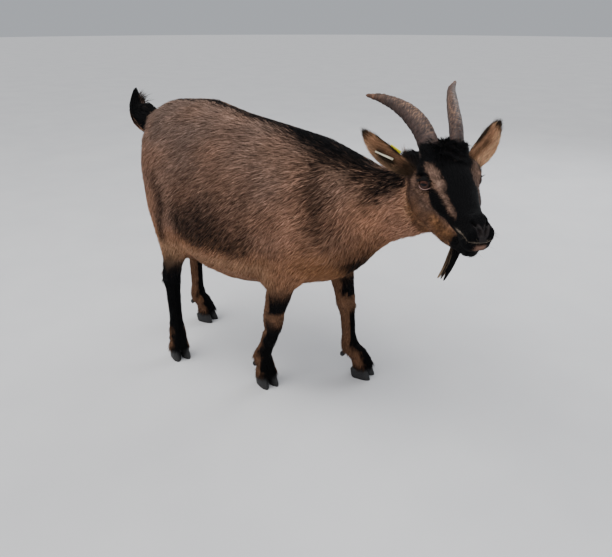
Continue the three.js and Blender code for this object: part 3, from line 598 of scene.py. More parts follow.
def face_colour(p, grain, marks):
    """Head: tan with the black, pale and pink markings, flecked hair by hair."""
    dark, orange, pale, lip, lower = marks
    face = mix(mix(TAN, GREY_TAN, 0.45), ORANGE_TAN, orange)
    face = mix(face, mix(GREY_TAN, TAN, 0.3) * 0.88, pale * 0.8)
    fleck = 1 + 0.34 * wobble(p, 4.5, 19) + 0.24 * wobble(p, 11, 20) + 0.8 * (grain - 0.5)
    face = face * FACE_SHADE * np.clip(fleck, 0.5, 1.6)[:, None]
    return laid_over(face, (BLACK, dark), (LIP_EDGE, lip * 0.8), (PINK_LIP, lower * 0.8))


def coat_colour(p, n, w, grain=0.5):
    """Colour of skin and hair at places p with normals n and region shares w; grain sets hairs apart."""
    w = w / np.maximum(w.sum(1, keepdims=True), 1e-6)
    x, _, z = p.T
    body = body_colour(p, n, grain)
    legs = mix(TAN, ORANGE_TAN, 0.45) * LEG_SHADE * (1 + 0.16 * wobble(p, 9, 22))[:, None]
    legs = mix(legs, BLACK, leg_marks(p, n))
    *marks, fold = head_marks(p, n, grain)
    tail = mix(TAN, BLACK, 1 - 0.75 * soft(-372, -340, x) * soft(660, 640, z))
    parts = (
        (w[:, TRUNK] + w[:, NECK], body),
        (w[:, HEAD], face_colour(p, grain, marks)),
        (w[:, EAR], ear_marks(p, n, w[:, EAR])),
        (w[:, TAIL], tail),
        (w[:, UPPER] + w[:, LOWER], mix(body, legs, soft(372, 300, z))),
    )
    colour = sum(share[:, None] * tint for share, tint in parts)
    # The jaw's fold is laid in pale hair brightened beyond its own colour: painted light that offsets the
    # shade in its groove.
    return mix(colour, PALE_TAN * 1.3, fold * 0.85 * (1 - w[:, EAR]))


def head_only(count):
    """Region shares of places that all lie on the head."""
    return np.tile(np.eye(len(REGIONS))[HEAD], (count, 1))


# ---------------------------------------------------------------------------------------------
# Materials


class Nodes:
    """Short way to write a material's nodes."""

    def __init__(self, name):
        self.material = bpy.data.materials.new(name)
        self.material.use_nodes = True
        self.tree = self.material.node_tree
        self.tree.nodes.clear()
        self.output = self.add("ShaderNodeOutputMaterial")
        self.shader = self.add("ShaderNodeBsdfPrincipled")
        self.link(self.shader.outputs[0], self.output.inputs["Surface"])

    def add(self, kind, **settings):
        node = self.tree.nodes.new(kind)
        for key, value in settings.items():
            setattr(node, key, value)
        return node

    def link(self, a, b):
        self.tree.links.new(a, b)

    def give(self, socket, value):
        """Feeds a socket with another node's output, a number or a colour."""
        if hasattr(value, "links"):
            self.link(value, socket)
        elif np.ndim(value) == 0:
            socket.default_value = value
        else:
            socket.default_value = (*[float(c) for c in value], 1)

    def place(self, scale=(1, 1, 1)):
        """Place on the piece itself, in metres, squeezed by the scale."""
        coords = self.add("ShaderNodeTexCoord")
        mapping = self.add("ShaderNodeMapping")
        mapping.inputs["Scale"].default_value = scale
        self.link(coords.outputs["Object"], mapping.inputs["Vector"])
        return mapping.outputs[0]

    def noise(self, where, scale, detail=3.0, rough=0.6):
        node = self.add("ShaderNodeTexNoise")
        node.inputs["Scale"].default_value = scale
        node.inputs["Detail"].default_value = detail
        node.inputs["Roughness"].default_value = rough
        self.link(where, node.inputs["Vector"])
        return node.outputs["Fac"]

    def ramp(self, value, *stops):
        node = self.add("ShaderNodeValToRGB")
        ramp = node.color_ramp
        while len(ramp.elements) < len(stops):
            ramp.elements.new(0.5)
        for element, (at, colour) in zip(ramp.elements, stops):
            element.position = at
            colour = (colour,) * 3 if np.ndim(colour) == 0 else colour
            element.color = (*[float(c) for c in colour], 1)
        self.link(value, node.inputs[0])
        return node.outputs["Color"]

    def blend(self, kind, a, b, share=1.0):
        node = self.add("ShaderNodeMix", data_type="RGBA", blend_type=kind)
        for socket, value in ((node.inputs[0], share), (node.inputs[6], a), (node.inputs[7], b)):
            self.give(socket, value)
        return node.outputs[2]

    def tint(self):
        node = self.add("ShaderNodeAttribute", attribute_name="tint", attribute_type="GEOMETRY")
        return node.outputs["Color"]

    def bump(self, height, distance, strength=1.0):
        node = self.add("ShaderNodeBump")
        node.inputs["Strength"].default_value = strength
        node.inputs["Distance"].default_value = distance
        self.link(height, node.inputs["Height"])
        self.link(node.outputs[0], self.shader.inputs["Normal"])

    def finish(self, colour, rough, **sockets):
        self.give(self.shader.inputs["Base Color"], colour)
        self.give(self.shader.inputs["Roughness"], rough)
        for socket, value in sockets.items():
            self.shader.inputs[socket.replace("_", " ")].default_value = value
        return self.material


def skin_material():
    """Short under-fur: fine streaks over the markings."""
    m = Nodes("short_fur")
    fine = m.noise(m.place((1, 1, 0.35)), 420, 4)
    coarse = m.noise(m.place(), 38, 3)
    shade = m.blend("MULTIPLY", m.tint(), m.ramp(fine, (0.3, 0.62), (0.7, 1.2)))
    shade = m.blend("MULTIPLY", shade, m.ramp(coarse, (0.3, 0.8), (0.7, 1.1)))
    m.bump(fine, 0.0012)
    return m.finish(shade, m.ramp(fine, (0.3, 0.85), (0.7, 0.75)), Specular_IOR_Level=0.08)


def coat_material():
    """Hair of the coat: the tuft's own tint, broken by a fine streak along it."""
    m = Nodes("coat_hair")
    fine = m.noise(m.place(), 650, 2)
    shade = m.blend("MULTIPLY", m.tint(), m.ramp(fine, (0.3, 0.78), (0.7, 1.15)))
    return m.finish(shade, m.ramp(fine, (0.3, 0.74), (0.7, 0.6)), Specular_IOR_Level=0.1)


def horn_material():
    """Ridged grey-brown horn with pale scurf flecks, painted highlights on the ridges from its tint, and a
    worn orange-brown tip.
    """
    m = Nodes("horn_keratin")
    streak = m.noise(m.place(), 95, 5, 0.7)
    fleck = m.noise(m.place(), 380, 4, 0.75)
    depth = m.ramp(streak, (0.32, (0.42, 0.40, 0.41)), (0.66, (1.42, 1.28, 1.2)))
    shade = m.blend("MULTIPLY", m.tint(), depth)
    shade = m.blend("MIX", shade, srgb(124, 102, 86), m.ramp(fleck, (0.62, 0.0), (0.78, 0.25)))
    m.bump(m.blend("ADD", streak, fleck, 0.5), 0.0014, 1.0)
    return m.finish(shade, m.ramp(streak, (0.3, 0.68), (0.7, 0.48)), Specular_IOR_Level=0.3)


def hoof_material():
    """Slate grey hoof horn with level growth rings, scuffed and dusty in patches."""
    m = Nodes("hoof_horn")
    rings = m.add("ShaderNodeTexWave", wave_type="BANDS", bands_direction="Z")
    rings.inputs["Scale"].default_value = 62
    rings.inputs["Distortion"].default_value = 2.5
    rings.inputs["Detail"].default_value = 2
    m.link(m.place(), rings.inputs["Vector"])
    scuff = m.noise(m.place((1, 1, 0.5)), 160, 4, 0.7)
    shade = m.ramp(scuff, (0.25, srgb(12, 11, 12)), (0.5, srgb(22, 21, 22)), (0.8, srgb(50, 47, 45)))
    shade = m.blend("MULTIPLY", shade, m.ramp(rings.outputs["Fac"], (0.0, 0.72), (1.0, 1.12)))
    m.bump(m.blend("ADD", rings.outputs["Fac"], scuff, 0.5), 0.0008, 0.8)
    return m.finish(shade, m.ramp(scuff, (0.3, 0.45), (0.7, 0.7)), Specular_IOR_Level=0.45)


def nose_material():
    """Damp, pebbled nose leather."""
    m = Nodes("nose_leather")
    cells = m.add("ShaderNodeTexVoronoi", feature="DISTANCE_TO_EDGE")
    cells.inputs["Scale"].default_value = 620
    m.link(m.place(), cells.inputs["Vector"])
    shade = m.blend("MULTIPLY", m.tint(), m.ramp(cells.outputs["Distance"], (0.0, 0.6), (0.25, 1.15)))
    m.bump(cells.outputs["Distance"], 0.0009, 0.7)
    return m.finish(shade, 0.6, Specular_IOR_Level=0.2)


def eye_material():
    """Wet dark eye; iris and slot pupil are worked out on the mesh and broken by fine fibres."""
    m = Nodes("eye_wet")
    fibre = m.noise(m.place(), 900, 3, 0.7)
    shade = m.blend("MULTIPLY", m.tint(), m.ramp(fibre, (0.3, 0.55), (0.7, 1.35)))
    return m.finish(shade, 0.25, Specular_IOR_Level=0.1, Coat_Weight=0.06, Coat_Roughness=0.04)


def lid_material():
    """Dark, slightly moist skin of the eyelid margins."""
    m = Nodes("lid_skin")
    fine = m.noise(m.place(), 700, 3)
    shade = m.blend("MULTIPLY", m.tint(), m.ramp(fine, (0.3, 0.7), (0.7, 1.2)))
    m.bump(fine, 0.0005)
    return m.finish(shade, 0.72, Specular_IOR_Level=0.1)


def tag_material(name, colour, dirt):
    """Soft moulded plastic of the ear tag, weathered and dusty."""
    m = Nodes(name)
    cloud = m.noise(m.place(), 130, 4, 0.65)
    grain = m.noise(m.place(), 1500, 2)
    shade = m.blend("MIX", colour, dirt, m.ramp(cloud, (0.48, 0.0), (0.72, 0.55)))
    m.bump(grain, 0.0002, 0.6)
    return m.finish(shade, m.ramp(cloud, (0.3, 0.38), (0.7, 0.6)), Specular_IOR_Level=0.45)


def floor_material():
    """Plain pale studio floor."""
    m = Nodes("studio_floor")
    cloud = m.noise(m.place(), 3, 2)
    shade = m.ramp(cloud, (0.3, srgb(206, 206, 208)), (0.7, srgb(212, 212, 213)))
    return m.finish(shade, 0.85, Specular_IOR_Level=0.1)


# ---------------------------------------------------------------------------------------------
# The skin: one closed surface in place of all the flesh, drawn in by the depth of the coat
CUT_CLOSE = 0.6  # mm each flesh solid is swollen, so that the thin cuts between them close
EAR_SWELL = 1.6  # mm the ears are swollen, so that their thin rims outlast the remesh
VOXEL = 2.7  # mm
KEPT_SHARE = 0.30  # of all triangles left by the decimation, which takes nearly all of them from the body
NOSE_GROOVE = [(162, 0, -22), (160, 0, -40)]
CHEEK_LINE = [(26, 50, -30), (56, 42, -46), (82, 34, -58)]
SOCKET_LINE = [(24, 50, 4), (33, 46, -8)]


def flesh_block():
    """All flesh solids in one mesh, and a tree of their corners with each one's region."""
    bm = bmesh.new()
    corners = []
    for node in FLESH:
        part = solid_of(node)
        bmesh.ops.subdivide_edges(part, edges=part.edges, cuts=1, use_grid_fill=True)
        part.normal_update()
        swell = EAR_SWELL if node.startswith("ear") else CUT_CLOSE
        for v in part.verts:
            v.co += v.normal * swell * MM
        kind = "upper" if "upper" in node else "lower" if "lower" in node else node.split("_")[0]
        corners += [(v.co.copy(), REGIONS.index(kind)) for v in part.verts]
        me = kept(part, "part")
        bm.from_mesh(me)
        bpy.data.meshes.remove(me)
    tree = KDTree(len(corners))
    for i, (co, _) in enumerate(corners):
        tree.insert(co, i)
    tree.balance()
    return kept(bm, "flesh"), tree, np.array([region for _, region in corners])


def region_shares(points, tree, kinds, edges, steps=14):
    """How far each place belongs to each region, blended softly where regions meet."""
    near = [tree.find(Vector(p))[1] for p in to_scene(points)]
    shares = np.eye(len(REGIONS))[kinds[near]]
    for _ in range(steps):
        shares = 0.5 * shares + 0.5 * averaged(shares, edges)
    return shares


def thinned(co, tri, loose, ratio):
    """Fewer triangles, taken only where `loose` is above nought."""
    me = new_mesh("thinned", co, tri)
    return with_modifier(me, "DECIMATE", loose, ratio=ratio, vertex_group_factor=60.0)


def refine_head(co, tri):
    """Halves the triangles round the eyes and the muzzle, where folds are modelled."""
    me = new_mesh("refine", co, tri)
    bm = bmesh.new()
    bm.from_mesh(me)
    bm.verts.ensure_lookup_table()
    m = folded(to_head(co))
    x, y, z = m.T
    eye_gap = np.linalg.norm(m - (EYE_AT + EYE_GAZE * 12), axis=1)
    fine = (eye_gap < 26) | ((x > 74) & (y < 50) & (z < 12) & (z > -75))
    edges = [e for e in bm.edges if fine[e.verts[0].index] and fine[e.verts[1].index]]
    bmesh.ops.subdivide_edges(bm, edges=edges, cuts=1)
    bmesh.ops.triangulate(bm, faces=bm.faces)
    bm.to_mesh(me)
    bm.free()
    return mesh_arrays(me)


def head_folds(co, n):
    """Mouth, nostrils, nose and face folds pressed into the head."""
    m = folded(to_head(co))
    x, y, z = m.T
    front = soft(70, 84, x)
    mouth, nostril = path_distance(m, MOUTH), path_distance(m, NOSTRIL)
    push = -3.4 * hill(0, 1.7, mouth) * soft(78, 92, x)
    push += 0.8 * hill(4.6, 2.4, mouth) * front
    push += -6.0 * hill(0, 2.3, nostril) + 0.6 * hill(5.4, 2.4, nostril) * front
    push += -1.3 * hill(0, 1.3, path_distance(m, NOSE_GROOVE))
    push += 6.0 * hill(126, 14, x) * hill(-12, 8, z) * soft(24, 12, y)  # the full end of the nose
    wrinkle = np.sin((x * 0.7 + z * 0.9) * 0.85) * hill(130, 14, x) * hill(-10, 8, z) * 0.35
    push += wrinkle - 1.2 * hill(0, 4.5, path_distance(m, CHEEK_LINE))
    push += -1.6 * hill(0, 4.0, path_distance(m, SOCKET_LINE))
    inside = soft(185, 165, x) * soft(-110, -95, z)
    return co + n * (push * inside)[:, None] * HEAD_SCALE


def open_eyes(co):
    """Presses the skin in behind the eyeballs' lids so that each ball and its lids stand clear."""
    h = to_head(co)
    for sign in SIDES.values():
        ball = sided(EYE_AT, sign)
        gaze = unit(sided(EYE_GAZE, sign))
        gap = h - ball
        along = gap @ gaze
        aside = np.linalg.norm(gap - along[:, None] * gaze, axis=1)
        press = soft(19, 12, aside) * soft(0, 6, along)
        reach = np.maximum(along - 5.0, 0)
        h = h - (press * reach)[:, None] * gaze
    return from_head(h)


def build_skin():
    """Points, triangles and region shares of the whole skin."""
    block, tree, kinds = flesh_block()
    solid = with_modifier(block, "REMESH", mode="VOXEL", voxel_size=VOXEL * MM)
    co, tri = mesh_arrays(solid)
    edges = edges_of(tri)
    h = to_head(co)
    thin_ears = soft(-40, -60, h[:, 0]) * soft(58, 68, np.abs(h[:, 1])) * soft(-70, -50, h[:, 2])
    near_head = soft(-175, -130, h[:, 0])
    co = relaxed(co, edges, 5, 1 - 0.7 * thin_ears[:, None])
    body = (1 - np.clip(near_head + soft(300, 260, co[:, 2]), 0, 1))[:, None]
    co = relaxed(co, edges, 22, body)
    loose = 1 - np.clip(near_head + 0.5 * soft(300, 260, co[:, 2]), 0, 1)
    co, tri = mesh_arrays(thinned(co, tri, loose, KEPT_SHARE))
    co, tri = refine_head(co, tri)
    edges = edges_of(tri)
    shares = region_shares(co, tree, kinds, edges)
    n = point_normals(co, tri)
    for _ in range(3):
        n = unit(0.4 * n + 0.6 * averaged(n, edges))
    thicker = np.interp(co[:, 2], [215, 340], [2.4, 5.5]) - INSET[UPPER]  # the coat of the legs, going up
    depth = shares @ INSET + shares[:, UPPER] * thicker
    depth = depth * soft(34, 62, co[:, 2])
    depth = depth * (1 - 0.8 * soft(96, 120, to_head(co)[:, 0]))
    co = relaxed(co - n * depth[:, None], edges, 2)
    co = head_folds(co, point_normals(co, tri))
    return open_eyes(co), tri, shares


# ---------------------------------------------------------------------------------------------
# Eyes and eyelids
FISSURE = (15.2, 8.2)  # half length and half height of the opening between the lids, mm
PUPIL = (6.4, 2.4)  # half length and half height of the pupil, mm
BALL_RINGS, BALL_SIDES, LID_SIDES = 40, 48, 64
# Each ring of a lid: how far out from the opening's edge, how far off the ball, and how dark and bare
# it is on the lower and on the upper lid.
LID_STEPS = [
    (-0.8, -2.6, 1, 1), (0.0, 0.2, 1, 1), (0.7, 1.5, 1, 1), (2.0, 2.3, 1, 1),
    (3.6, 2.0, 0.8, 1), (4.7, 1.1, 0.35, 0.95), (6.4, 1.7, 0.1, 0.8), (9.0, 1.2, 0, 0.4),
]


def eye_axes(sign):
    """Where an eye looks, and the level and upright directions across it, in the head's frame."""
    gaze = unit(sided(EYE_GAZE, sign))
    level = np.array([1.0, 0, 0.25])
    forward = unit(level - gaze * (level @ gaze))
    up = np.cross(gaze, forward)
    return gaze, forward, up if up[2] > 0 else -up


def on_eye(sign, u, v, w):
    """Places u forward, v up and w out from the middle of an eyeball."""
    gaze, forward, up = eye_axes(sign)
    return sided(EYE_AT, sign) + u[:, None] * forward + v[:, None] * up + w[:, None] * gaze


def eyeball(sign):
    """Ball with the clear front bulging a little; dark brown iris, level slot pupil, dark rim."""
    polar = np.linspace(0, math.pi, BALL_RINGS + 2)[1:-1]
    a, b = np.meshgrid(polar, turns(BALL_SIDES), indexing="ij")
    a, b = np.append(a.ravel(), [0, math.pi]), np.append(b.ravel(), [0, 0])
    radius = EYE_RADIUS + 0.9 * hill(0, 0.62, a)
    u, v, w = radius * np.sin(a) * np.cos(b), radius * np.sin(a) * np.sin(b), radius * np.cos(a)
    points = from_head(on_eye(sign, u, v, w))
    disc, front = np.hypot(u, v), w > 0
    iris = mix(srgb(56, 33, 27), srgb(26, 16, 15), soft(6.5, 10.6, disc))
    iris = mix(iris, srgb(84, 54, 44), hill(5.8, 1.3, disc) * 0.5)
    pupil = soft(1.12, 0.96, (np.abs(u) / PUPIL[0]) ** 3 + (np.abs(v) / PUPIL[1]) ** 3)
    colour = laid_over(
        srgb(60, 46, 40),
        (iris, soft(11.4, 10.8, disc) * front),
        (srgb(20, 14, 12), hill(11.2, 0.7, disc) * front),
        (srgb(7, 7, 10), pupil * front),
    )
    return points, outward(points, closed_tube(BALL_RINGS, BALL_SIDES)), colour


def lid_bands(sign, c, s):
    """Rings of the lids that lie on the ball, from just inside the opening's edge outwards."""
    edge_u = FISSURE[0] * c * (1 + 0.10 * np.abs(c) ** 6)
    edge_v = FISSURE[1] * np.sign(s) * np.abs(s) ** 1.15 * np.where(s > 0, 0.92, 1.0) - 0.6
    edge_v = edge_v + np.where(c > 0.85, -1.2 * (c - 0.85) / 0.15, 0)
    grow = np.where(s > 0, 1.12, 0.92)
    rings = []
    for out, lift, *_ in LID_STEPS:
        u, v = edge_u + out * grow * c, edge_v + out * grow * s
        radius = EYE_RADIUS + lift + 0.5 * hill(0, 8, np.hypot(u, v))
        flat = np.minimum(np.hypot(u, v), radius * 0.985)
        rings.append(on_eye(sign, u, v, np.sqrt(radius**2 - flat**2)))
    return rings


def lid_seat(sign, c, s, surface):
    """Ring where the lids run into the skin of the face."""
    gaze, forward, up = eye_axes(sign)
    ball, start = sided(EYE_AT, sign), 9
    seat = []
    for k in range(LID_SIDES):
        aim = unit(gaze * 0.42 + unit(c[k] * forward + s[k] * up))
        hit = cast(surface, ball + aim * start, aim)
        reach = (hit[3] / MM / HEAD_SCALE + start) if hit[0] is not None else 24
        seat.append(ball + aim * min(max(reach, 17), 27))
    seat = np.array(seat)
    for _ in range(4):
        seat = 0.5 * seat + 0.25 * (np.roll(seat, 1, 0) + np.roll(seat, -1, 0))
    return seat


def lids(sign, surface):
    """Upper and lower lid as one closed ring, with its dark margin and its wet lower edge."""
    gaze, ball, sides = eye_axes(sign)[0], sided(EYE_AT, sign), LID_SIDES
    c, s = np.cos(turns(sides)), np.sin(turns(sides))
    rings = lid_bands(sign, c, s)
    lip, seat = rings[-1], lid_seat(sign, c, s, surface)
    rings += [mix(lip, seat, np.full(sides, t)) + 0.6 * math.sin(math.pi * t) * gaze for t in (0.35, 0.7)]
    rings += [seat, ball + (seat - ball) * 0.8, ball + (rings[0] - ball) * 0.8]
    j = np.arange(sides)
    k = (j + 1) % sides
    last = (len(rings) - 1) * sides
    closing = np.stack([last + j, last + k, k, j], 1)
    tri = halved(np.vstack([tube_faces(len(rings), sides), closing]))
    world = from_head(np.vstack(rings))
    if (triangle_normals(world, tri)[sides * 2 : sides * 4] @ (TURN @ gaze)).mean() < 0:
        tri = tri[:, ::-1]
    above = soft(-0.2, 0.3, s)
    none = np.zeros(sides)
    margin = [lower + (upper - lower) * above for _, _, lower, upper in LID_STEPS]
    wet = [soft(-0.2, -0.6, s) * share for share in (0.7, 0.9)]
    return world, tri, np.concatenate(margin + [none] * 5), np.concatenate([none, *wet, *[none] * 10])


# ---------------------------------------------------------------------------------------------
# Horns
HORN_RINGS, HORN_SIDES, HORN_RIDGES = 150, 36, 60
HORN_END = [0.94, 0.8, 0.6, 0.3]  # how the last rings close on the tip


def horn_line(sign):
    """Centre line of a horn and its half widths across and along the head, ring by ring."""
    keys = range(len(HORN_PATH))
    i = np.linspace(0, len(HORN_PATH) - 1, HORN_RINGS)
    lift = np.interp(i, keys, [12 * sign * (k / 6) ** 3 for k in keys])
    centre = smooth_path(HORN_PATH, HORN_RINGS) * np.array([1, sign, 1])
    sizes = []
    for halves in (HORN_WIDE, HORN_DEEP):
        size = np.convolve(np.pad(np.interp(i, keys, halves), 6, "edge"), np.ones(13) / 13, "valid")
        size[-len(HORN_END) :] *= HORN_END
        sizes.append(size)
    return centre + np.array([0, 0, 1]) * lift[:, None], *sizes


def horn_colour(points, ridge, t, front):
    """Grey at the root, browner to the tip, with painted highlights on the ridges and painted shade in the
    grooves between them, and worn scurf down the front.
    """
    scurf = soft(0.0, 0.9, wobble(points, 2.6, 34)) * hill(0.45, 0.24, t) * soft(0.1, 0.8, front)
    return laid_over(
        srgb(60, 48, 47),
        (srgb(66, 50, 45), soft(0.15, 0.6, t)),
        (srgb(92, 68, 54), soft(0.70, 0.9, t + 0.04 * wobble(points, 15, 33))),
        (srgb(42, 38, 38), 0.6 * soft(0.16, 0.0, t)),
        # Painted highlight on the ridges, and next painted shade in the grooves between them.
        (srgb(88, 74, 66), np.clip(ridge * 0.9, 0, 0.45) * soft(0.95, 0.8, t)),
        (srgb(38, 33, 32), 0.5 * soft(0.10, -0.02, ridge - 0.05) * (t < 0.9)),
        (srgb(164, 132, 106), scurf * 0.8),
    )


def horn_ridges(length, a, sign):
    """How high the growth ridges stand round each ring of a horn."""
    t, front = length / length[-1], np.cos(a)
    rng = np.random.default_rng(40 + sign)
    marks = np.cumsum(rng.uniform(3.6, 8.5, HORN_RIDGES)) - 4
    strength = rng.uniform(0.08, 0.40, HORN_RIDGES)
    rows = []
    for r in range(HORN_RINGS):
        slant = length[r] - 5.0 * (1 - front) * 0.5 + 1.2 * np.sin(2 * a + r * 0.05)
        ridge = np.zeros(HORN_SIDES)
        for at, tall in zip(marks, strength):
            gap = slant - at
            ridge += tall * np.where(gap < 0, hill(0, 1.3, gap), hill(0, 3.4, gap))
        worn = (1.25 - 0.9 * t[r]) * (0.62 + 0.38 * front) * (0.9 if t[r] < 0.93 else 0.3)
        rows.append(ridge * worn)
    return rows


def horn(sign):
    """Horn with growth ridges and a keel along its front edge."""
    centre, wide, deep = horn_line(sign)
    along = unit(np.gradient(centre, axis=0))
    hint = np.array([1, -0.5 * sign, 0.6])
    long_axis = unit(hint - along * (along @ hint)[:, None])
    short_axis = np.cross(along, long_axis)
    length = np.concatenate([[0], np.cumsum(np.linalg.norm(np.diff(centre, axis=0), axis=1))])
    a, t = turns(HORN_SIDES), length / length[-1]
    front = np.cos(a)
    flat = 1 - 0.10 * np.maximum(-front, 0) ** 2
    ridges = horn_ridges(length, a, sign)
    points = []
    for r, ridge in enumerate(ridges):
        keel = 1 + 0.07 * np.maximum(front, 0) ** 6 * (1 - t[r])
        size_long = deep[r] * keel * flat * 0.965 + ridge
        size_short = wide[r] * 0.965 + ridge
        ring = centre[r] + (size_long * front)[:, None] * long_axis[r]
        points.append(ring + (size_short * np.sin(a))[:, None] * short_axis[r])
    points = np.vstack(points)
    points += 0.5 * wobble(points, 6, 31)[:, None] * unit(points - np.repeat(centre, HORN_SIDES, 0))
    points = np.vstack([points, centre[0] - along[0] * 2, centre[-1] + along[-1] * 1.5])
    ridge = np.append(np.concatenate(ridges), [0, 0])
    t = np.append(np.repeat(t, HORN_SIDES), [0, 1])
    front = np.append(np.tile(front, HORN_RINGS), [0, 0])
    goat = from_head(points)
    return goat, outward(goat, closed_tube(HORN_RINGS, HORN_SIDES)), horn_colour(points, ridge, t, front)


# ---------------------------------------------------------------------------------------------
# Hooves and ear tag, softened from their solids


def softened(node, cuts, steps, rings=0.0):
    """A solid's own shape with its edges worn round, its flat sole kept, and level growth rings."""
    bm = solid_of(node)
    for _ in range(cuts):
        bmesh.ops.subdivide_edges(bm, edges=bm.edges, cuts=1, use_grid_fill=True)
        bmesh.ops.triangulate(bm, faces=bm.faces)
    me = kept(bm, "soft")
    co, tri = mesh_arrays(me)
    bpy.data.meshes.remove(me)
    low = co[:, 2].min()
    sole = co[:, 2] < low + 0.05
    edges = edges_of(tri)
    for _ in range(steps):
        moved = co + 0.5 * (averaged(co, edges) - co)
        moved[sole, 2] = low
        co = moved
    if rings:
        n = point_normals(co, tri)
        wave = np.sin(co[:, 2] * 2 * math.pi / 5.5 + 1.2 * wobble(co, 20, 51))
        co = co + n * (rings * wave * (1 - np.abs(n[:, 2])) * soft(low + 1, low + 5, co[:, 2]))[:, None]
    return co, tri


def tag_part(node, width):
    """One half of the tag with its edges rounded."""
    bm = solid_of(node)
    bmesh.ops.dissolve_limit(bm, angle_limit=0.02, verts=bm.verts, edges=bm.edges)
    rounded = dict(width=width * MM, segments=3, limit_method="ANGLE", harden_normals=False)
    return mesh_arrays(with_modifier(kept(bm, "tag"), "BEVEL", **rounded))


def tag_stud(place, facing, radius, height):
    """Domed head of the pin that joins the tag's two halves."""
    profile = [(0.55, -1.0), (1.0, 0.0), (1.0, 0.45), (0.86, 0.8), (0.5, 0.98)]
    sides = 24
    a = turns(sides)[:, None]
    first = unit(np.cross(facing, [0.2, 0.1, 1.0]))
    spoke = np.cos(a) * first + np.sin(a) * np.cross(facing, first)
    rings = [place + facing * h * height + radius * r * spoke for r, h in profile]
    points = np.vstack([*rings, [place - facing * height], [place + facing * height]])
    return points, outward(points, closed_tube(len(profile), sides))


# ---------------------------------------------------------------------------------------------
# Long locks: tail, beard and the tuft between the horns
TAPER = np.array([0.8, 1, 1, 0.9, 0.75, 0.5, 0.18])  # of a hair's width from root to tip
CROWN_TAPER = np.array([0.9, 1, 0.95, 0.8, 0.55, 0.18])
TAIL_WIDE, TAIL_DEEP = [23, 29, 28, 16, 2.5], [31, 42, 40, 21, 2.5]
TAIL_HAIRS, CROWN_HAIRS = 1700, 800
FINE = 80  # points on a path once smoothed


def strands(lines, radius, sides=3, flat=0.6):
    """Closed tapered hairs along centre lines (count, steps, 3) with radii (count, steps)."""
    count, steps, _ = lines.shape
    along = unit(np.gradient(lines, axis=1))
    hint = unit(np.roll(lines[:, -1] - lines[:, 0], 1, axis=1) + [0.1, 0.37, 0.2])[:, None, :]
    first = unit(np.cross(along, hint))
    second = np.cross(along, first) * flat
    a = turns(sides)
    ring = first[:, :, None] * np.cos(a)[:, None] + second[:, :, None] * np.sin(a)[:, None]
    ring = lines[:, :, None] + ring * radius[:, :, None, None]
    ends = np.stack([lines[:, 0] - along[:, 0] * 0.5, lines[:, -1] + along[:, -1] * 1.0], 1)
    points = np.concatenate([ring.reshape(count, -1, 3), ends], 1)
    faces = outward(points[0], closed_tube(steps, sides))
    each = points.shape[1]
    step_of = np.concatenate([np.repeat(np.arange(steps), sides), [0, steps - 1]]) / (steps - 1)
    return points.reshape(-1, 3), copies(faces, count, each), each, step_of


def bundle(path, wide, deep, count, seed, reach, last_start=0.62):
    """Centre lines of hairs that grow along a path and fill its outline."""
    rng = np.random.default_rng(seed)
    fine = smooth_path(path, FINE)
    along = unit(np.gradient(fine, axis=0))
    side = np.tile([0.0, 1.0, 0.0], (FINE, 1))
    up = np.cross(along, side)
    at = np.linspace(0, len(path) - 1, FINE)
    wide, deep = np.interp(at, range(len(path)), wide), np.interp(at, range(len(path)), deep)
    start = rng.uniform(0, last_start, count)
    span = rng.uniform(*reach, count)
    turn, fill = rng.uniform(0, 2 * math.pi, count), np.sqrt(rng.uniform(0.05, 1, count))
    t = np.linspace(0, 1, len(TAPER))
    s = np.minimum(start[:, None] + span[:, None] * t, 0.995 + rng.uniform(-0.04, 0.0, count)[:, None])
    k = s * (FINE - 1)
    i = np.clip(k.astype(int), 0, FINE - 2)
    part = (k - i)[..., None]
    centre = fine[i] * (1 - part) + fine[i + 1] * part
    spread = fill[:, None] * (0.62 + 0.34 * np.sin(math.pi * np.minimum(t * 0.8 + 0.1, 1)))
    turn = turn[:, None] + rng.normal(0, 0.35, count)[:, None] * t
    across, above = np.cos(turn) * spread * wide[i], np.sin(turn) * spread * deep[i]
    return centre + (across[..., None] * side[i] + above[..., None] * up[i]), s, rng


def lock_colours(step_of, base, tip, rng, vary=0.22):
    """Colour of each point of each hair: a base with its own shade, turning to the tip's colour."""
    count = len(base)
    shade = np.exp(rng.normal(0, vary, count))[:, None, None]
    t = soft(0.45, 1.0, step_of)[None, :, None]
    rootward = (0.7 + 0.3 * soft(0, 0.3, step_of))[None, :, None]
    return ((base[:, None, :] * (1 - t) + tip[:, None, :] * t) * shade * rootward).reshape(-1, 3)


def tail_locks():
    """The raised tail: black hair, with some tan at the root's underside."""
    lines, s, rng = bundle(TAIL_PATH, TAIL_WIDE, TAIL_DEEP, TAIL_HAIRS, 61, (0.22, 0.45))
    t = np.linspace(0, 1, lines.shape[1])[None, :, None]
    fray = 1 + rng.uniform(0, 0.35, TAIL_HAIRS)[:, None, None] * t**2
    middle = smooth_path(TAIL_PATH, FINE)[np.clip((s * (FINE - 1)).astype(int), 0, FINE - 1)]
    lines = middle + (lines - middle) * fray
    width = rng.uniform(0.8, 1.4, TAIL_HAIRS)[:, None] * TAPER
    points, faces, each, step_of = strands(lines, width)
    low = lines[:, 0, 2] < np.interp(lines[:, 0, 0], [-440, -340], [665, 632])
    tan = (rng.random(TAIL_HAIRS) < 0.75) & low & (s[:, 0] < 0.35)
    base = np.where(tan[:, None], TAN * LEG_SHADE, BLACK)
    tip = np.where((rng.random(TAIL_HAIRS) < 0.08)[:, None], UMBER, base)
    uv = patch_map(*tube_unwrap(lines[:, 0], TAIL_PATH, np.array([0, 0, 1.0])), each, step_of)
    return points, faces, lock_colours(step_of, base, tip, rng), uv


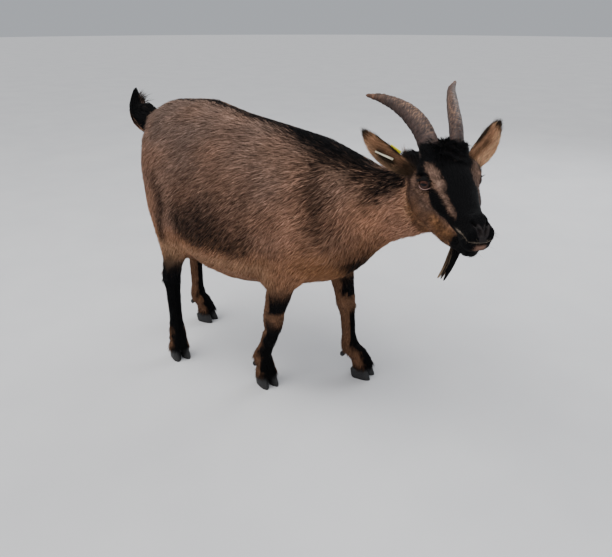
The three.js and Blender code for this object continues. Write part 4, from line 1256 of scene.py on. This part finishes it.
# The beard's wisps: path in the head's frame, half widths, half depths, hairs, share that is blond
WISPS = [
    ([(80, 0, -82), (78, 0, -106), (73, -1, -144), (65, -5, -184)],
     [11, 9, 5, 1.5], [14, 11, 6, 1.5], 320, 0.04),
    ([(78, 0, -82), (75, -1, -104), (69, -4, -140), (60, -9, -182)],
     [10, 8, 5, 1.5], [14, 10, 6, 2], 200, 0.3),
    ([(75, 0, -80), (72, -2, -106), (64, -6, -146), (54, -13, -185)],
     [9, 8, 5, 2], [13, 9, 5, 2], 190, 0.75),
]


def beard_locks():
    """Wisps that part towards their tips: a black one in front, a blond one behind."""
    parts, done = [], 0
    for k, (path, wide, deep, count, share) in enumerate(WISPS):
        lines, _, rng = bundle(path, wide, deep, count, 62 + k, (0.5, 1.0), last_start=0.4)
        width = rng.uniform(0.4, 0.75, count)[:, None] * TAPER
        points, faces, each, step_of = strands(from_head(lines), width)
        blond = rng.random(count) < share
        base = np.where(blond[:, None], srgb(98, 78, 60), BLACK)
        tip = np.where((blond | (rng.random(count) < 0.12 * k))[:, None], srgb(186, 160, 132), BLACK)
        colour = lock_colours(step_of, base, tip, rng)
        uv = patch_map(*tube_unwrap(lines[:, 0], path, np.array([1.0, 0, 0])), each, step_of, k, len(WISPS))
        parts.append((points, faces + done, colour, uv))
        done += len(points)
    return tuple(np.concatenate(arrays) for arrays in zip(*parts))


def crown_locks(surface):
    """Short black tuft between the horns, falling forward on the forehead."""
    rng = np.random.default_rng(63)
    x, y = rng.uniform(-60, 2, CROWN_HAIRS), np.clip(rng.normal(0, 16, CROWN_HAIRS), -31, 31)
    above = np.stack([x, y, np.full(CROWN_HAIRS, 110.0)], 1)
    hits = [cast(surface, start, [0, 0, -1.0])[0] for start in above]
    roots = np.array([to_head(to_goat(hit)) for hit in hits if hit is not None])
    x, y = roots[:, 0], roots[:, 1]
    count = len(roots)
    length = rng.uniform(9, 17, count) * np.interp(x, [-60, -35, 2], [0.8, 1.0, 0.6])
    length = length * (1 + 0.3 * wobble(roots, 13, 67))
    rise = np.interp(x, [-60, -35, 2], [0.62, 0.55, 0.2])
    sweep = np.stack([np.interp(x, [-60, -35, 0], [-0.5, 0.7, 1.0]), y / 90, rise], 1)
    clump = drift(roots, 11, 64) * [1, 1, 0.4]
    sweep = unit(sweep + 0.25 * clump + rng.normal(0, 0.12, (count, 3)))
    fall = np.stack([np.interp(x, [-60, -40, 0], [-0.3, 0.5, 0.7]), y / 120, np.full(count, -0.62)], 1)
    t = np.linspace(0, 1, len(CROWN_TAPER))[None, :, None]
    bow = sweep[:, None] * t + 0.42 * fall[:, None] * t**2
    lines = roots[:, None] - sweep[:, None] * 1.5 + length[:, None, None] * bow
    width = rng.uniform(0.55, 0.95, count)[:, None] * CROWN_TAPER
    points, faces, each, step_of = strands(from_head(lines), width)
    base = np.tile(BLACK, (count, 1))
    tip = np.where((rng.random(count) < 0.06)[:, None], UMBER, BLACK)
    uv = patch_map(*tube_unwrap(roots, SKULL_AXIS, np.array([0, 0, -1.0])), each, step_of)
    return points, faces, lock_colours(step_of, base, tip, rng), uv


# ---------------------------------------------------------------------------------------------
# The coat
MARK_BLUR = np.array([9.0, 8.0, 1.6, 1.5, 6.0, 3.0, 2.0])  # mm, region by region
LID_DENSITY = 75.0  # tufts to a square centimetre
ROOT_DEPTH = 0.9  # mm a tuft's foot is sunk in the skin
TUFT_RINGS = {"body": 2, "head": 1, "leg": 1}
TUFT_LIMIT = {"body": 19500, "head": 48000, "leg": 48000}  # tufts to a piece
PATCH = 0.003  # width of a tuft's patch on the unwrap


def lie_of_coat(p, n, shares):
    """Way the hair lies: back and down on the body, down the legs, back from the nose."""
    x, _, z = p.T
    rear, chest = soft(-225, -330, x), soft(235, 300, x)
    trunk = np.stack([-np.ones(len(p)), 0 * x, -0.22 - 0.62 * np.abs(n[:, 1])], 1)
    trunk = laid_over(trunk, ([-0.30, 0, -1.0], rear), ([-0.62, 0, -0.9], chest))
    neck = mix([-0.80, 0.22, -0.72], [-0.95, 0.30, -0.2], soft(0.5, 0.9, n[:, 2]))
    h, hn = to_head(p), n @ TURN
    hx, hy, hz = h.T
    cheek = soft(0.3, 0.8, np.abs(hn[:, 1])) * soft(20, -30, hz)
    face = mix([-1.0, 0, 0.12], [-0.72, 0, -0.62], cheek)
    face = mix(face, [-0.8, 0, -0.3], soft(60, 110, hx) * cheek)
    parted = np.sign(hy) * soft(-20, -60, hx) * soft(0, 30, hz)
    face = face + 0.5 * np.stack([0 * x, parted, 0 * x], 1)
    right_ear, left_ear = unit(EAR_TIP["right"] - sided(EAR_ROOT, -1)), unit(EAR_TIP["left"] - EAR_ROOT)
    ears = np.where(h[:, 1:2] < 0, right_ear, left_ear)
    tail = mix([-1.0, 0, 0.25], [-0.05, 0, 1.0], soft(-410, -445, x) + soft(690, 705, z))
    legs = np.array([-0.16, 0, -1.0])
    sets = [trunk, neck, face @ TURN.T, ears @ TURN.T, tail, legs, legs * [0.6, 1, 1]]
    lie = sum(shares[:, k : k + 1] * unit(way) for k, way in enumerate(sets))
    swirl = drift(p, 90, 70) * 0.20 + drift(p, 24, 80) * 0.13
    return unit(lie + swirl * (1 - 0.6 * shares[:, [HEAD]]))


def bare(p):
    """How hairless a place is: nose leather, lips, lids and the seats of the horns."""
    m = folded(to_head(p))
    x, y, z = m.T
    lips = soft(3.0, 1.6, path_distance(m, MOUTH)) * (x > 92)
    eye = soft(15.5, 13.0, np.linalg.norm(m - EYE_FRONT, axis=1))
    horns = soft(17, 14, np.hypot(x + 47, y - 27)) * (z > 12)
    return np.maximum.reduce([nose_pad(p), lips, eye, horns])


def nose_pad(p):
    """Share of bare nose leather: round each nostril and the strip between them down to the lip."""
    m = folded(to_head(p))
    x, y, z = m.T
    round_nostril = soft(7.5, 4.5, path_distance(m, NOSTRIL))
    strip = soft(8.5, 5.5, y) * soft(-42, -39, z) * soft(-17, -21, z)
    return np.maximum(round_nostril, strip) * soft(137, 143, x) * (x < 180)


def lengths(p, n, shares):
    """Length, rise and width of the hair at each place, in millimetres."""
    x, _, z = p.T
    h, hn = to_head(p), n @ TURN
    long, rise, wide = shares @ LENGTH, shares @ RISE, shares @ WIDTH
    trunk = shares[:, TRUNK]
    knee = shares[:, UPPER] * soft(340, 230, z)
    long, rise = long * (1 - 0.45 * knee), rise * (1 - 0.5 * knee)
    fringe = trunk * soft(392, 350, z) * soft(-0.2, -0.6, n[:, 2])
    crest = trunk * soft(0.75, 0.95, n[:, 2]) * soft(-300, -100, x)
    rump = trunk * soft(-250, -330, x)
    chest = (trunk + shares[:, NECK]) * soft(250, 290, x) * soft(470, 420, z)
    long = long * (1 + 0.35 * fringe + 0.15 * crest + 0.2 * rump + 0.3 * chest)
    face = np.interp(h[:, 0], [-90, -60, -30, 30, 90, 130], [2.3, 1.8, 1.25, 0.88, 0.6, 0.42])
    jaw = soft(-55, -85, h[:, 2]) * 0.5
    long = long * (1 + shares[:, HEAD] * (face + jaw - 1))
    rise = rise * (1 + shares[:, HEAD] * (np.minimum(face, 2.0) - 1))
    wide = wide * (1 + shares[:, HEAD] * 0.35 * soft(1.0, 2.0, face))
    opens = np.where(h[:, 1:2] < 0, EAR_OPENS["right"], EAR_OPENS["left"])
    cup = shares[:, EAR] * soft(0.1, 0.6, (hn * unit(opens)).sum(1))
    long, rise = long * (1 + 0.9 * cup), rise * (1 + 1.6 * cup)
    lower = shares[:, LOWER]
    back = lower * soft(0.3, 0.8, -n[:, 0]) * soft(130, 90, z)
    low = lower * soft(58, 42, z)
    long = long * (1 + 0.6 * back + 0.6 * low)
    rise = rise * (1 + 0.5 * back + 0.7 * low)
    return long, rise, wide


def scatter(co, tri, density, rng):
    """Random places on the triangles: their triangle and the shares of its three corners."""
    area = np.linalg.norm(triangle_normals(co, tri), axis=1) / 2 / 100
    wanted = area * density[tri].mean(1)
    count = np.floor(wanted + rng.random(len(tri))).astype(int)
    chosen = np.repeat(np.arange(len(tri)), count)
    a, b = rng.random((2, len(chosen)))
    flip = a + b > 1
    a, b = np.where(flip, 1 - a, a), np.where(flip, 1 - b, b)
    return chosen, np.stack([1 - a - b, a, b], 1)


def tuft_shapes(root, n, lie, long, wide, rise, bend, rings):
    """Closed three-sided tufts: their points (count, each, 3), the faces of one, and steps along it."""
    side = unit(np.cross(lie, n))
    stops = [(0.0, 0.75), (0.42, 1.0)] if rings == 2 else [(0.0, 1.0)]  # share of the length, girth
    points = []
    for t, girth in stops:
        lift = rise * (1 - (1 - t) ** 2) - (ROOT_DEPTH if t == 0 else 0) * np.minimum(rise, 1)
        centre = root + lie * (long * t)[:, None] + n * lift[:, None] + side * (bend * t * t)[:, None]
        for a in math.pi / 2 + np.arange(3) * 2 * math.pi / 3:
            across, up = wide * girth * 0.5 * math.cos(a), wide * girth * 0.30 * math.sin(a)
            points.append(centre + (side * across[:, None] + n * up[:, None]))
    points.append(root + lie * long[:, None] + n * (rise * 0.86)[:, None] + side * bend[:, None])
    points = np.stack(points, 1)
    faces = [(0, 1, 2)]
    for r in range(len(stops) - 1):
        for k in range(3):
            a, b, c, d = r * 3 + k, r * 3 + (k + 1) % 3, (r + 1) * 3 + (k + 1) % 3, (r + 1) * 3 + k
            faces += [(a, d, c), (a, c, b)]
    last = (len(stops) - 1) * 3
    faces += [(last + k, len(stops) * 3, last + (k + 1) % 3) for k in range(3)]
    steps = np.array([t for t, _ in stops for _ in range(3)] + [1.0])
    return points, outward(points[0], faces), steps


def tuft_colours(base, dark_share, steps, shares, rng):
    """Grizzled shades: single dark and pale hairs among the tan, darker roots, paler tips."""
    count = len(base)
    light = base.mean(1)
    tan = soft(0.03, 0.10, light)
    shade = np.exp(rng.normal(0, 0.19 + 0.2 * (shares[:, HEAD] + shares[:, EAR] + shares[:, LOWER]), count))
    body = np.clip(shares[:, TRUNK] + shares[:, NECK] + 0.6 * shares[:, UPPER], 0, 1)
    pick = rng.random(count)
    dusky = (pick < 0.10 + 0.16 * body * dark_share) & (tan > 0.3)
    pale = (pick > 0.93) & (tan > 0.3)
    shade = np.where(dusky, shade * 0.38, np.where(pale, shade * 1.35, shade))
    stray = (pick > 0.955) & (tan <= 0.3) & (body > 0.5)
    base = np.where(stray[:, None], UMBER * 1.6, base)
    along = 0.72 + 0.28 * soft(0, 0.35, steps)[None, :]
    along = along + 0.22 * (tan * body)[:, None] * soft(0.5, 1, steps)[None, :]
    return base[:, None, :] * (shade[:, None] * along)[..., None]


def tube_unwrap(points, path, up):
    """Distance along a path, and turn about it (0 to 1), of points on a rounded form."""
    path = np.asarray(path, float)
    best = np.full(len(points), 1e12)
    place, turn = np.zeros(len(points)), np.zeros(len(points))
    lengths = np.linalg.norm(np.diff(path, axis=0), axis=1)
    done = 0.0
    for k, (a, b) in enumerate(zip(path[:-1], path[1:])):
        axis = (b - a) / lengths[k]
        raw = (points - a) @ axis
        t = np.clip(raw, 0 if k else -1e9, lengths[k] if k < len(lengths) - 1 else 1e9)
        off = points - a - t[:, None] * axis
        gap = np.linalg.norm(off, axis=1)
        mine = gap < best
        best = np.where(mine, gap, best)
        first = unit(up - axis * (axis @ up))
        second = np.cross(axis, first)
        place = np.where(mine, done + t, place)
        turn = np.where(mine, np.arctan2(off @ second, off @ first) / (2 * math.pi) + 0.5, turn)
        done += lengths[k]
    return place, turn


# Lines on which the unwrap of each rounded form is laid out; the skull's is in the head's frame.
SKULL_AXIS = [(-110, 0, -22), (60, 0, -30), (165, 0, -42)]
BODY_AXIS = [(-380, 0, 560), (-150, 0, 530), (120, 0, 540), (260, 0, 545), (420, -50, 560), (500, -95, 600)]
LEG_AXES = {
    "fore_right": [(150, -94, 400), (93, -90, 222), (46, -82, 86), (62, -80, 0)],
    "fore_left": [(168, 96, 400), (200, 96, 222), (216, 97, 86), (257, 108, 0)],
    "hind_right": [(-196, -110, 420), (-256, -106, 252), (-246, -112, 86), (-240, -112, 0)],
    "hind_left": [(-210, 110, 420), (-370, 104, 246), (-370, 106, 86), (-338, 113, 0)],
}


def root_map(root, region):
    """Where each root lies on an unwrap of the skin, each limb slit along its length and laid flat."""
    columns = []
    if region == "body":
        columns.append((np.ones(len(root), bool), BODY_AXIS, [0, 0, 1.0], root))
    elif region == "leg":
        for name, axis in LEG_AXES.items():
            x_side = root[:, 0] > HIND_X if name.startswith("fore") else root[:, 0] <= HIND_X
            y_side = root[:, 1] < 0 if name.endswith("right") else root[:, 1] >= 0
            columns.append((x_side & y_side, axis, [1.0, 0, 0], root))
    else:
        h = to_head(root)
        ear = (np.abs(h[:, 1]) > 62) & (h[:, 0] < -35)
        columns.append((~ear, SKULL_AXIS, [0, 0, -1.0], h))
        for side, sign in SIDES.items():
            mine = ear & (np.sign(h[:, 1]) == sign)
            columns.append((mine, [sided(EAR_ROOT, sign), EAR_TIP[side]], -EAR_OPENS[side], h))
    uv = np.zeros((len(root), 2))
    shares = np.array([max(mine.sum(), 1) for mine, *_ in columns], float)
    shares = shares / shares.sum() * 0.98
    left = 0.01
    for (mine, axis, up, points), share in zip(columns, shares):
        if mine.any():
            place, turn = tube_unwrap(points[mine], axis, np.array(up, float))
            uv[mine, 0] = left + 0.004 + (share - 0.008) * turn
            uv[mine, 1] = 0.006 + 0.988 * fitted(place)
        left += share
    return uv


def patch(each, step_of):
    """Corners of one tuft's own small patch on the unwrap: round the form across, along it up."""
    return np.stack([np.resize([0.1, 0.9, 0.5], each), step_of], 1)[None] * PATCH


def patch_map(place, turn, each, step_of, column=0, columns=1):
    """Each lock's patch at its root's place on the unwrap."""
    at = np.stack([(column + 0.01 + 0.97 * turn) / columns, 0.005 + 0.985 * fitted(place)], 1)
    return (np.clip(at[:, None, :], 0, 1 - PATCH) + patch(each, step_of)).reshape(-1, 2)


def coat_regions(root, shares):
    """Which tufts go to the pieces of the body, of the head and of the lower legs."""
    head = shares[:, HEAD] + shares[:, EAR] > 0.5
    leg = (shares[:, LOWER] + shares[:, UPPER] * (root[:, 2] < 330) > 0.5) & ~head
    groups = {"body": ~(head | leg), "head": head, "leg": leg}
    return {name: np.nonzero(mine)[0] for name, mine in groups.items()}


def coat_pieces(root, n, lie, shares, seed):
    """Splits the tufts into pieces small enough for one mesh each, region by region."""
    rng = np.random.default_rng(seed)
    long, rise, wide = lengths(root, n, shares)
    count = len(root)
    long = long * rng.uniform(0.72, 1.2, count)
    rise = rise * rng.uniform(0.35, 1.12, count)
    wide = wide * rng.uniform(0.7, 1.25, count)
    bend = long * rng.normal(0, 0.08, count)
    lie = flattened(unit(lie + rng.normal(0, 0.09, (count, 3))), n)
    apart = rng.normal(0, 1, (count, 3)) * (shares @ MARK_BLUR)[:, None]
    base = coat_colour(root + apart, n, shares, rng.random(count))
    grey = soft(-0.3, 0.6, n[:, 2])
    made = []
    for region, chosen in coat_regions(root, shares).items():
        rings, limit = TUFT_RINGS[region], TUFT_LIMIT[region]
        chosen = chosen[np.argsort(root[chosen, 0])]
        parts = max(1, math.ceil(len(chosen) / limit))
        for k, part in enumerate(np.array_split(chosen, parts)):
            form = [values[part] for values in (root, n, lie, long, wide, rise, bend)]
            points, faces, steps = tuft_shapes(*form, rings)
            shades = np.random.default_rng(seed + k + len(part))
            colours = tuft_colours(base[part], grey[part], steps, shares[part], shades)
            each = points.shape[1]
            at = root_map(root[part], region)[:, None, :]
            uv = np.clip(at - PATCH / 2, 0, 1 - PATCH) + patch(each, steps)
            name = f"coat_{region}_{k + 1}"
            arrays = [values.reshape(-1, values.shape[-1]) for values in (points, colours, uv)]
            made.append((name, new_mesh(name, arrays[0], copies(faces, len(part), each), *arrays[1:])))
    return made


def sown(co, n, tri, density, shares, rng):
    """Tufts sown over a surface: their roots, normals, lie and region shares."""
    chosen, part = scatter(co, tri, density, rng)

    def at(values):
        return (values[tri[chosen]] * part[..., None]).sum(1)

    return at(co), unit(at(n)), at(lie_of_coat(co, n, shares)), at(shares)


def whole_coat(skin, shares, lid_rings):
    """All pieces of the coat: tufts over the skin and over both pairs of lids."""
    co, tri = skin
    n = point_normals(co, tri)
    n = unit(n + averaged(n, edges_of(tri)))
    density = (shares @ DENSITY) * (1 - bare(co))
    density = density * (1 + shares[:, HEAD] * 0.5 * soft(40, 100, to_head(co)[:, 0]))
    density = density * soft(30, 36, co[:, 2])
    rng = np.random.default_rng(7)
    sets = [sown(co, n, tri, density, shares, rng)]
    for world, faces, margin in lid_rings:
        thick = LID_DENSITY * soft(0.5, 0.3, margin)
        lid_n = point_normals(world, faces)
        sets.append(sown(world, lid_n, faces, thick, head_only(len(world)), rng))
    root, normal, lie, share = [np.vstack(arrays) for arrays in zip(*sets)]
    return coat_pieces(root, normal, flattened(lie, normal), share, 11)


# ---------------------------------------------------------------------------------------------
# Bristles by Geometry Nodes: eyelashes and the few whiskers of the muzzle
LASHES, LASH_RADIUS = 46, 0.22  # mm
WHISKERS, WHISKER_RADIUS = 36, 0.16  # mm


def bristle_tree(material):
    """Stands a tapered bristle on each point, along its `lie` attribute and as long as its `reach`."""
    tree = bpy.data.node_groups.new("bristles", "GeometryNodeTree")
    tree.interface.new_socket("Geometry", in_out="INPUT", socket_type="NodeSocketGeometry")
    thickness = tree.interface.new_socket("Bristle Radius", in_out="INPUT", socket_type="NodeSocketFloat")
    tree.interface.new_socket("Geometry", in_out="OUTPUT", socket_type="NodeSocketGeometry")
    add = tree.nodes.new
    given, done = add("NodeGroupInput"), add("NodeGroupOutput")
    cone = add("GeometryNodeMeshCone")
    cone.inputs["Vertices"].default_value = 5
    cone.inputs["Radius Top"].default_value = 0.00004
    cone.inputs["Depth"].default_value = 1.0
    aim = add("FunctionNodeAlignRotationToVector")
    aim.axis = "Z"
    lie, reach = add("GeometryNodeInputNamedAttribute"), add("GeometryNodeInputNamedAttribute")
    lie.data_type, reach.data_type = "FLOAT_VECTOR", "FLOAT"
    lie.inputs["Name"].default_value, reach.inputs["Name"].default_value = "lie", "reach"
    size = add("ShaderNodeCombineXYZ")
    size.inputs["X"].default_value = size.inputs["Y"].default_value = 1.0
    put, solid = add("GeometryNodeInstanceOnPoints"), add("GeometryNodeRealizeInstances")
    finish = add("GeometryNodeSetMaterial")
    finish.inputs["Material"].default_value = material
    for a, b in (
        (given.outputs["Geometry"], put.inputs["Points"]),
        (given.outputs["Bristle Radius"], cone.inputs["Radius Bottom"]),
        (cone.outputs["Mesh"], put.inputs["Instance"]),
        (lie.outputs["Attribute"], aim.inputs["Vector"]),
        (aim.outputs["Rotation"], put.inputs["Rotation"]),
        (reach.outputs["Attribute"], size.inputs["Z"]),
        (size.outputs["Vector"], put.inputs["Scale"]),
        (put.outputs["Instances"], solid.inputs["Geometry"]),
        (solid.outputs["Geometry"], finish.inputs["Geometry"]),
        (finish.outputs["Geometry"], done.inputs["Geometry"]),
    ):
        tree.links.new(a, b)
    return tree, thickness.identifier


def bristles(name, roots, directions, reach, radius, material):
    """Joined mesh of bristles from roots in the goat's millimetres."""
    me = bpy.data.meshes.new(name)
    me.from_pydata(to_scene(roots).tolist(), [], [])
    lie = me.attributes.new("lie", "FLOAT_VECTOR", "POINT")
    lie.data.foreach_set("vector", unit(directions).astype(np.float32).ravel())
    length = me.attributes.new("reach", "FLOAT", "POINT")
    length.data.foreach_set("value", (reach * MM).astype(np.float32))
    ob = in_scene(name, me)
    tree, socket = bristle_tree(material)
    mod = ob.modifiers.new("bristles", "NODES")
    mod.node_group = tree
    mod[socket] = radius * MM
    return evaluated(ob)


def lash_roots(sign):
    """Roots and directions of the upper lashes, along the upper lid's edge."""
    _, forward, up = eye_axes(sign)
    a = np.linspace(0.10, 0.92, LASHES) * math.pi
    c, s = np.cos(a), np.sin(a)
    u, v = FISSURE[0] * c * 1.02, FISSURE[1] * 0.92 * s**1.15 + 0.4
    radius = EYE_RADIUS + 1.5
    roots = on_eye(sign, u, v, np.sqrt(np.maximum(radius**2 - u**2 - v**2, 1)))
    rng = np.random.default_rng(90 + sign)
    out = unit(roots - sided(EYE_AT, sign))
    aim = out * 0.9 + up * 0.35 + forward * (c * 0.5)[:, None] + rng.normal(0, 0.12, (LASHES, 3))
    return from_head(roots), aim @ TURN.T, rng.uniform(5.0, 8.5, LASHES)


def whisker_roots(surface):
    """A few stiff hairs on the upper lip and chin."""
    rng = np.random.default_rng(97)
    roots, aims = [], []
    for k in range(WHISKERS):
        sign = 1 if k % 2 else -1
        height = rng.uniform(-36, -26) if k % 3 else rng.uniform(-74, -56)
        hit = cast(surface, [rng.uniform(112, 146), sign * 60, height], [0, -sign, 0.0])[0]
        if hit is None:
            continue
        roots.append(to_goat(hit))
        aims.append(TURN @ (np.array([0.25, sign * 0.9, -0.5]) + rng.normal(0, 0.2, 3)))
    return np.array(roots), np.array(aims), rng.uniform(9, 20, len(roots))


# ---------------------------------------------------------------------------------------------
# Putting it together


def scene_tree(co, tri):
    return BVHTree.FromPolygons([Vector(v) for v in to_scene(co)], tri.tolist())


def put_skin():
    co, tri, shares = build_skin()
    n = point_normals(co, tri)
    # Painted shade: the skin's colour is darkened where it lies under the coat, most under the deep coat of
    # the trunk and neck.
    colour = coat_colour(co, n, shares) * (0.80 - 0.25 * (shares[:, TRUNK] + shares[:, NECK]))[:, None]
    pad, m = nose_pad(co), folded(to_head(co))
    # Painted shade: near-black laid into the nostril openings and the mouth's slit, where shade falls.
    painted_hollow_shade = soft(3.4, 1.6, path_distance(m, NOSTRIL))
    slit = soft(1.8, 0.6, path_distance(m, MOUTH)) * soft(86, 96, m[:, 0])
    colour = laid_over(colour, (srgb(31, 24, 24), pad * 0.9), (srgb(4, 3, 4), np.maximum(painted_hollow_shade, slit) * 0.9))
    me = new_mesh("skin", co, tri, colour)
    add_piece("skin", me, skin_material(), "coat", *FLESH)
    me.materials.append(nose_material())
    on_pad = pad[tri].mean(1) > 0.5
    me.polygons.foreach_set("material_index", on_pad.astype(np.int32))
    return co, tri, shares


def put_eyes(surface):
    wet, lid = eye_material(), lid_material()
    lash = Nodes("lash_hair").finish(srgb(16, 14, 14), 0.5, Specular_IOR_Level=0.3)
    rings = []
    for side, sign in SIDES.items():
        ball = new_mesh(f"eyeball_{side}", *eyeball(sign))
        add_piece(f"eyeball_{side}", ball, wet, "eye", f"eye_{side}")
        world, tri, margin, wet_edge = lids(sign, surface)
        # Painted shade: the lids' skin is darkened under their hair, as the face's skin is.
        shade = coat_colour(world, point_normals(world, tri), head_only(len(world))) * 0.8
        shade = laid_over(shade, (srgb(9, 7, 7), margin * 0.97), (srgb(158, 126, 118), wet_edge))
        add_piece(f"lids_{side}", new_mesh(f"lids_{side}", world, tri, shade), lid, "dark_coat")
        rings.append((world, tri, margin))
        lashes = bristles(f"lashes_{side}", *lash_roots(sign), LASH_RADIUS, lash)
        add_piece(f"lashes_{side}", lashes, lash, "dark_coat")
    return rings


def put_horns():
    keratin = horn_material()
    for side, sign in SIDES.items():
        me = new_mesh(f"horn_sheath_{side}", *horn(sign))
        add_piece(f"horn_sheath_{side}", me, keratin, "horn", f"horn_{side}")


def put_hooves():
    horn_grey = hoof_material()
    for foot in TOES:
        for word in ("outer", "inner"):
            side = f"{word}_{foot}"
            claw = new_mesh("claw", *softened(f"hoof_{side}", 3, 5, 0.28))
            add_piece(f"claw_{side}", claw, horn_grey, "hoof", f"hoof_{side}")
            dew = new_mesh("dew", *softened(f"dewclaw_{side}", 2, 3))
            add_piece(f"dew_{side}", dew, horn_grey, "hoof", f"dewclaw_{side}")


def put_tag():
    yellow = tag_material("tag_yellow_plastic", srgb(232, 222, 40), srgb(150, 138, 60))
    cream = tag_material("tag_cream_plastic", srgb(232, 226, 200), srgb(150, 136, 110))
    add_piece("tag_bar", new_mesh("tag_bar", *tag_part("tag_strip", 0.9)), cream, "tag_cream", "tag_strip")
    plate, tri = tag_part("tag_button", 1.0)
    add_piece("tag_plate", new_mesh("tag_plate", plate, tri), yellow, "tag_yellow", "tag_button")
    normals = triangle_normals(plate, tri)
    facing = unit(normals[np.argmax(np.linalg.norm(normals, axis=1))])
    if (facing @ TURN)[2] < 0:
        facing = -facing
    centre = plate.mean(0)
    top = centre + facing * ((plate - centre) @ facing).max()
    add_piece("tag_pin", new_mesh("tag_pin", *tag_stud(top, facing, 3.6, 1.7)), yellow, "tag_yellow")


def put_coat(skin, shares, surface, lid_rings):
    hair = coat_material()
    for name, me in whole_coat(skin, shares, lid_rings):
        add_piece(name, me, hair, "coat")
    add_piece("tail_locks", new_mesh("tail_locks", *tail_locks()), hair, "dark_coat")
    add_piece("beard_locks", new_mesh("beard_locks", *beard_locks()), hair, "dark_coat", "beard")
    add_piece("crown_tuft", new_mesh("crown_tuft", *crown_locks(surface)), hair, "dark_coat")
    stiff = Nodes("whisker_hair").finish(srgb(26, 22, 20), 0.6, Specular_IOR_Level=0.2)
    whiskers = bristles("whiskers", *whisker_roots(surface), WHISKER_RADIUS, stiff)
    add_piece("whiskers", whiskers, stiff, "coat")


def put_stage():
    bm = bmesh.new()
    bmesh.ops.create_circle(bm, cap_ends=True, segments=96, radius=26)
    me = kept(bm, "floor")
    me.materials.append(floor_material())
    floor = in_scene("floor", me)


def facing_along(direction):
    """Rotation of a lamp or camera that looks along a direction."""
    return Vector(direction).to_track_quat("-Z", "Y").to_euler()


def put_light(name, place, size, power, colour):
    data = bpy.data.lights.new(name, "AREA")
    data.shape, data.size, data.energy, data.color = "DISK", size, power, colour
    light = in_scene(name, data)
    light.location = place
    light.rotation_euler = facing_along(Vector((0, 0, 0.4)) - Vector(place))


def put_lights():
    world = bpy.data.worlds.new("studio")
    world.use_nodes = True
    background = world.node_tree.nodes["Background"]
    background.inputs["Color"].default_value = (0.80, 0.84, 0.90, 1)
    background.inputs["Strength"].default_value = 0.55
    bpy.context.scene.world = world
    sky = bpy.data.lights.new("sky", "SUN")
    sky.energy, sky.angle, sky.color = 2.0, math.radians(75), (1.0, 0.985, 0.96)
    in_scene("sky", sky).rotation_euler = facing_along((0.3, 0.4, -1.0))
    put_light("key", (-0.9, -1.2, 3.1), 2.4, 50, (1.0, 0.985, 0.96))
    put_light("fill", (2.8, -2.0, 1.9), 2.6, 30, (0.93, 0.96, 1.0))
    put_light("back", (0.6, 2.8, 2.2), 2.2, 40, (0.95, 0.97, 1.0))


def put_camera():
    data = bpy.data.cameras.new("camera")
    data.lens, data.sensor_width = 36.0, 36.0
    camera = in_scene("camera", data)
    azimuth, height, distance = math.radians(34.5), math.radians(23.7), 1590.0
    target = np.array([133.6, 0.0, 306.5])
    level = math.cos(height)
    back = np.array([math.sin(azimuth) * level, -math.cos(azimuth) * level, math.sin(height)])
    camera.location = to_scene(target + back * distance)
    camera.rotation_euler = facing_along(-back)
    bpy.context.scene.camera = camera


put_camera()
put_lights()
put_stage()
skin_points, skin_faces, skin_shares = put_skin()
skin_surface = scene_tree(skin_points, skin_faces)
lid_rings = put_eyes(skin_surface)
put_horns()
put_hooves()
put_tag()
put_coat((skin_points, skin_faces), skin_shares, skin_surface, lid_rings)
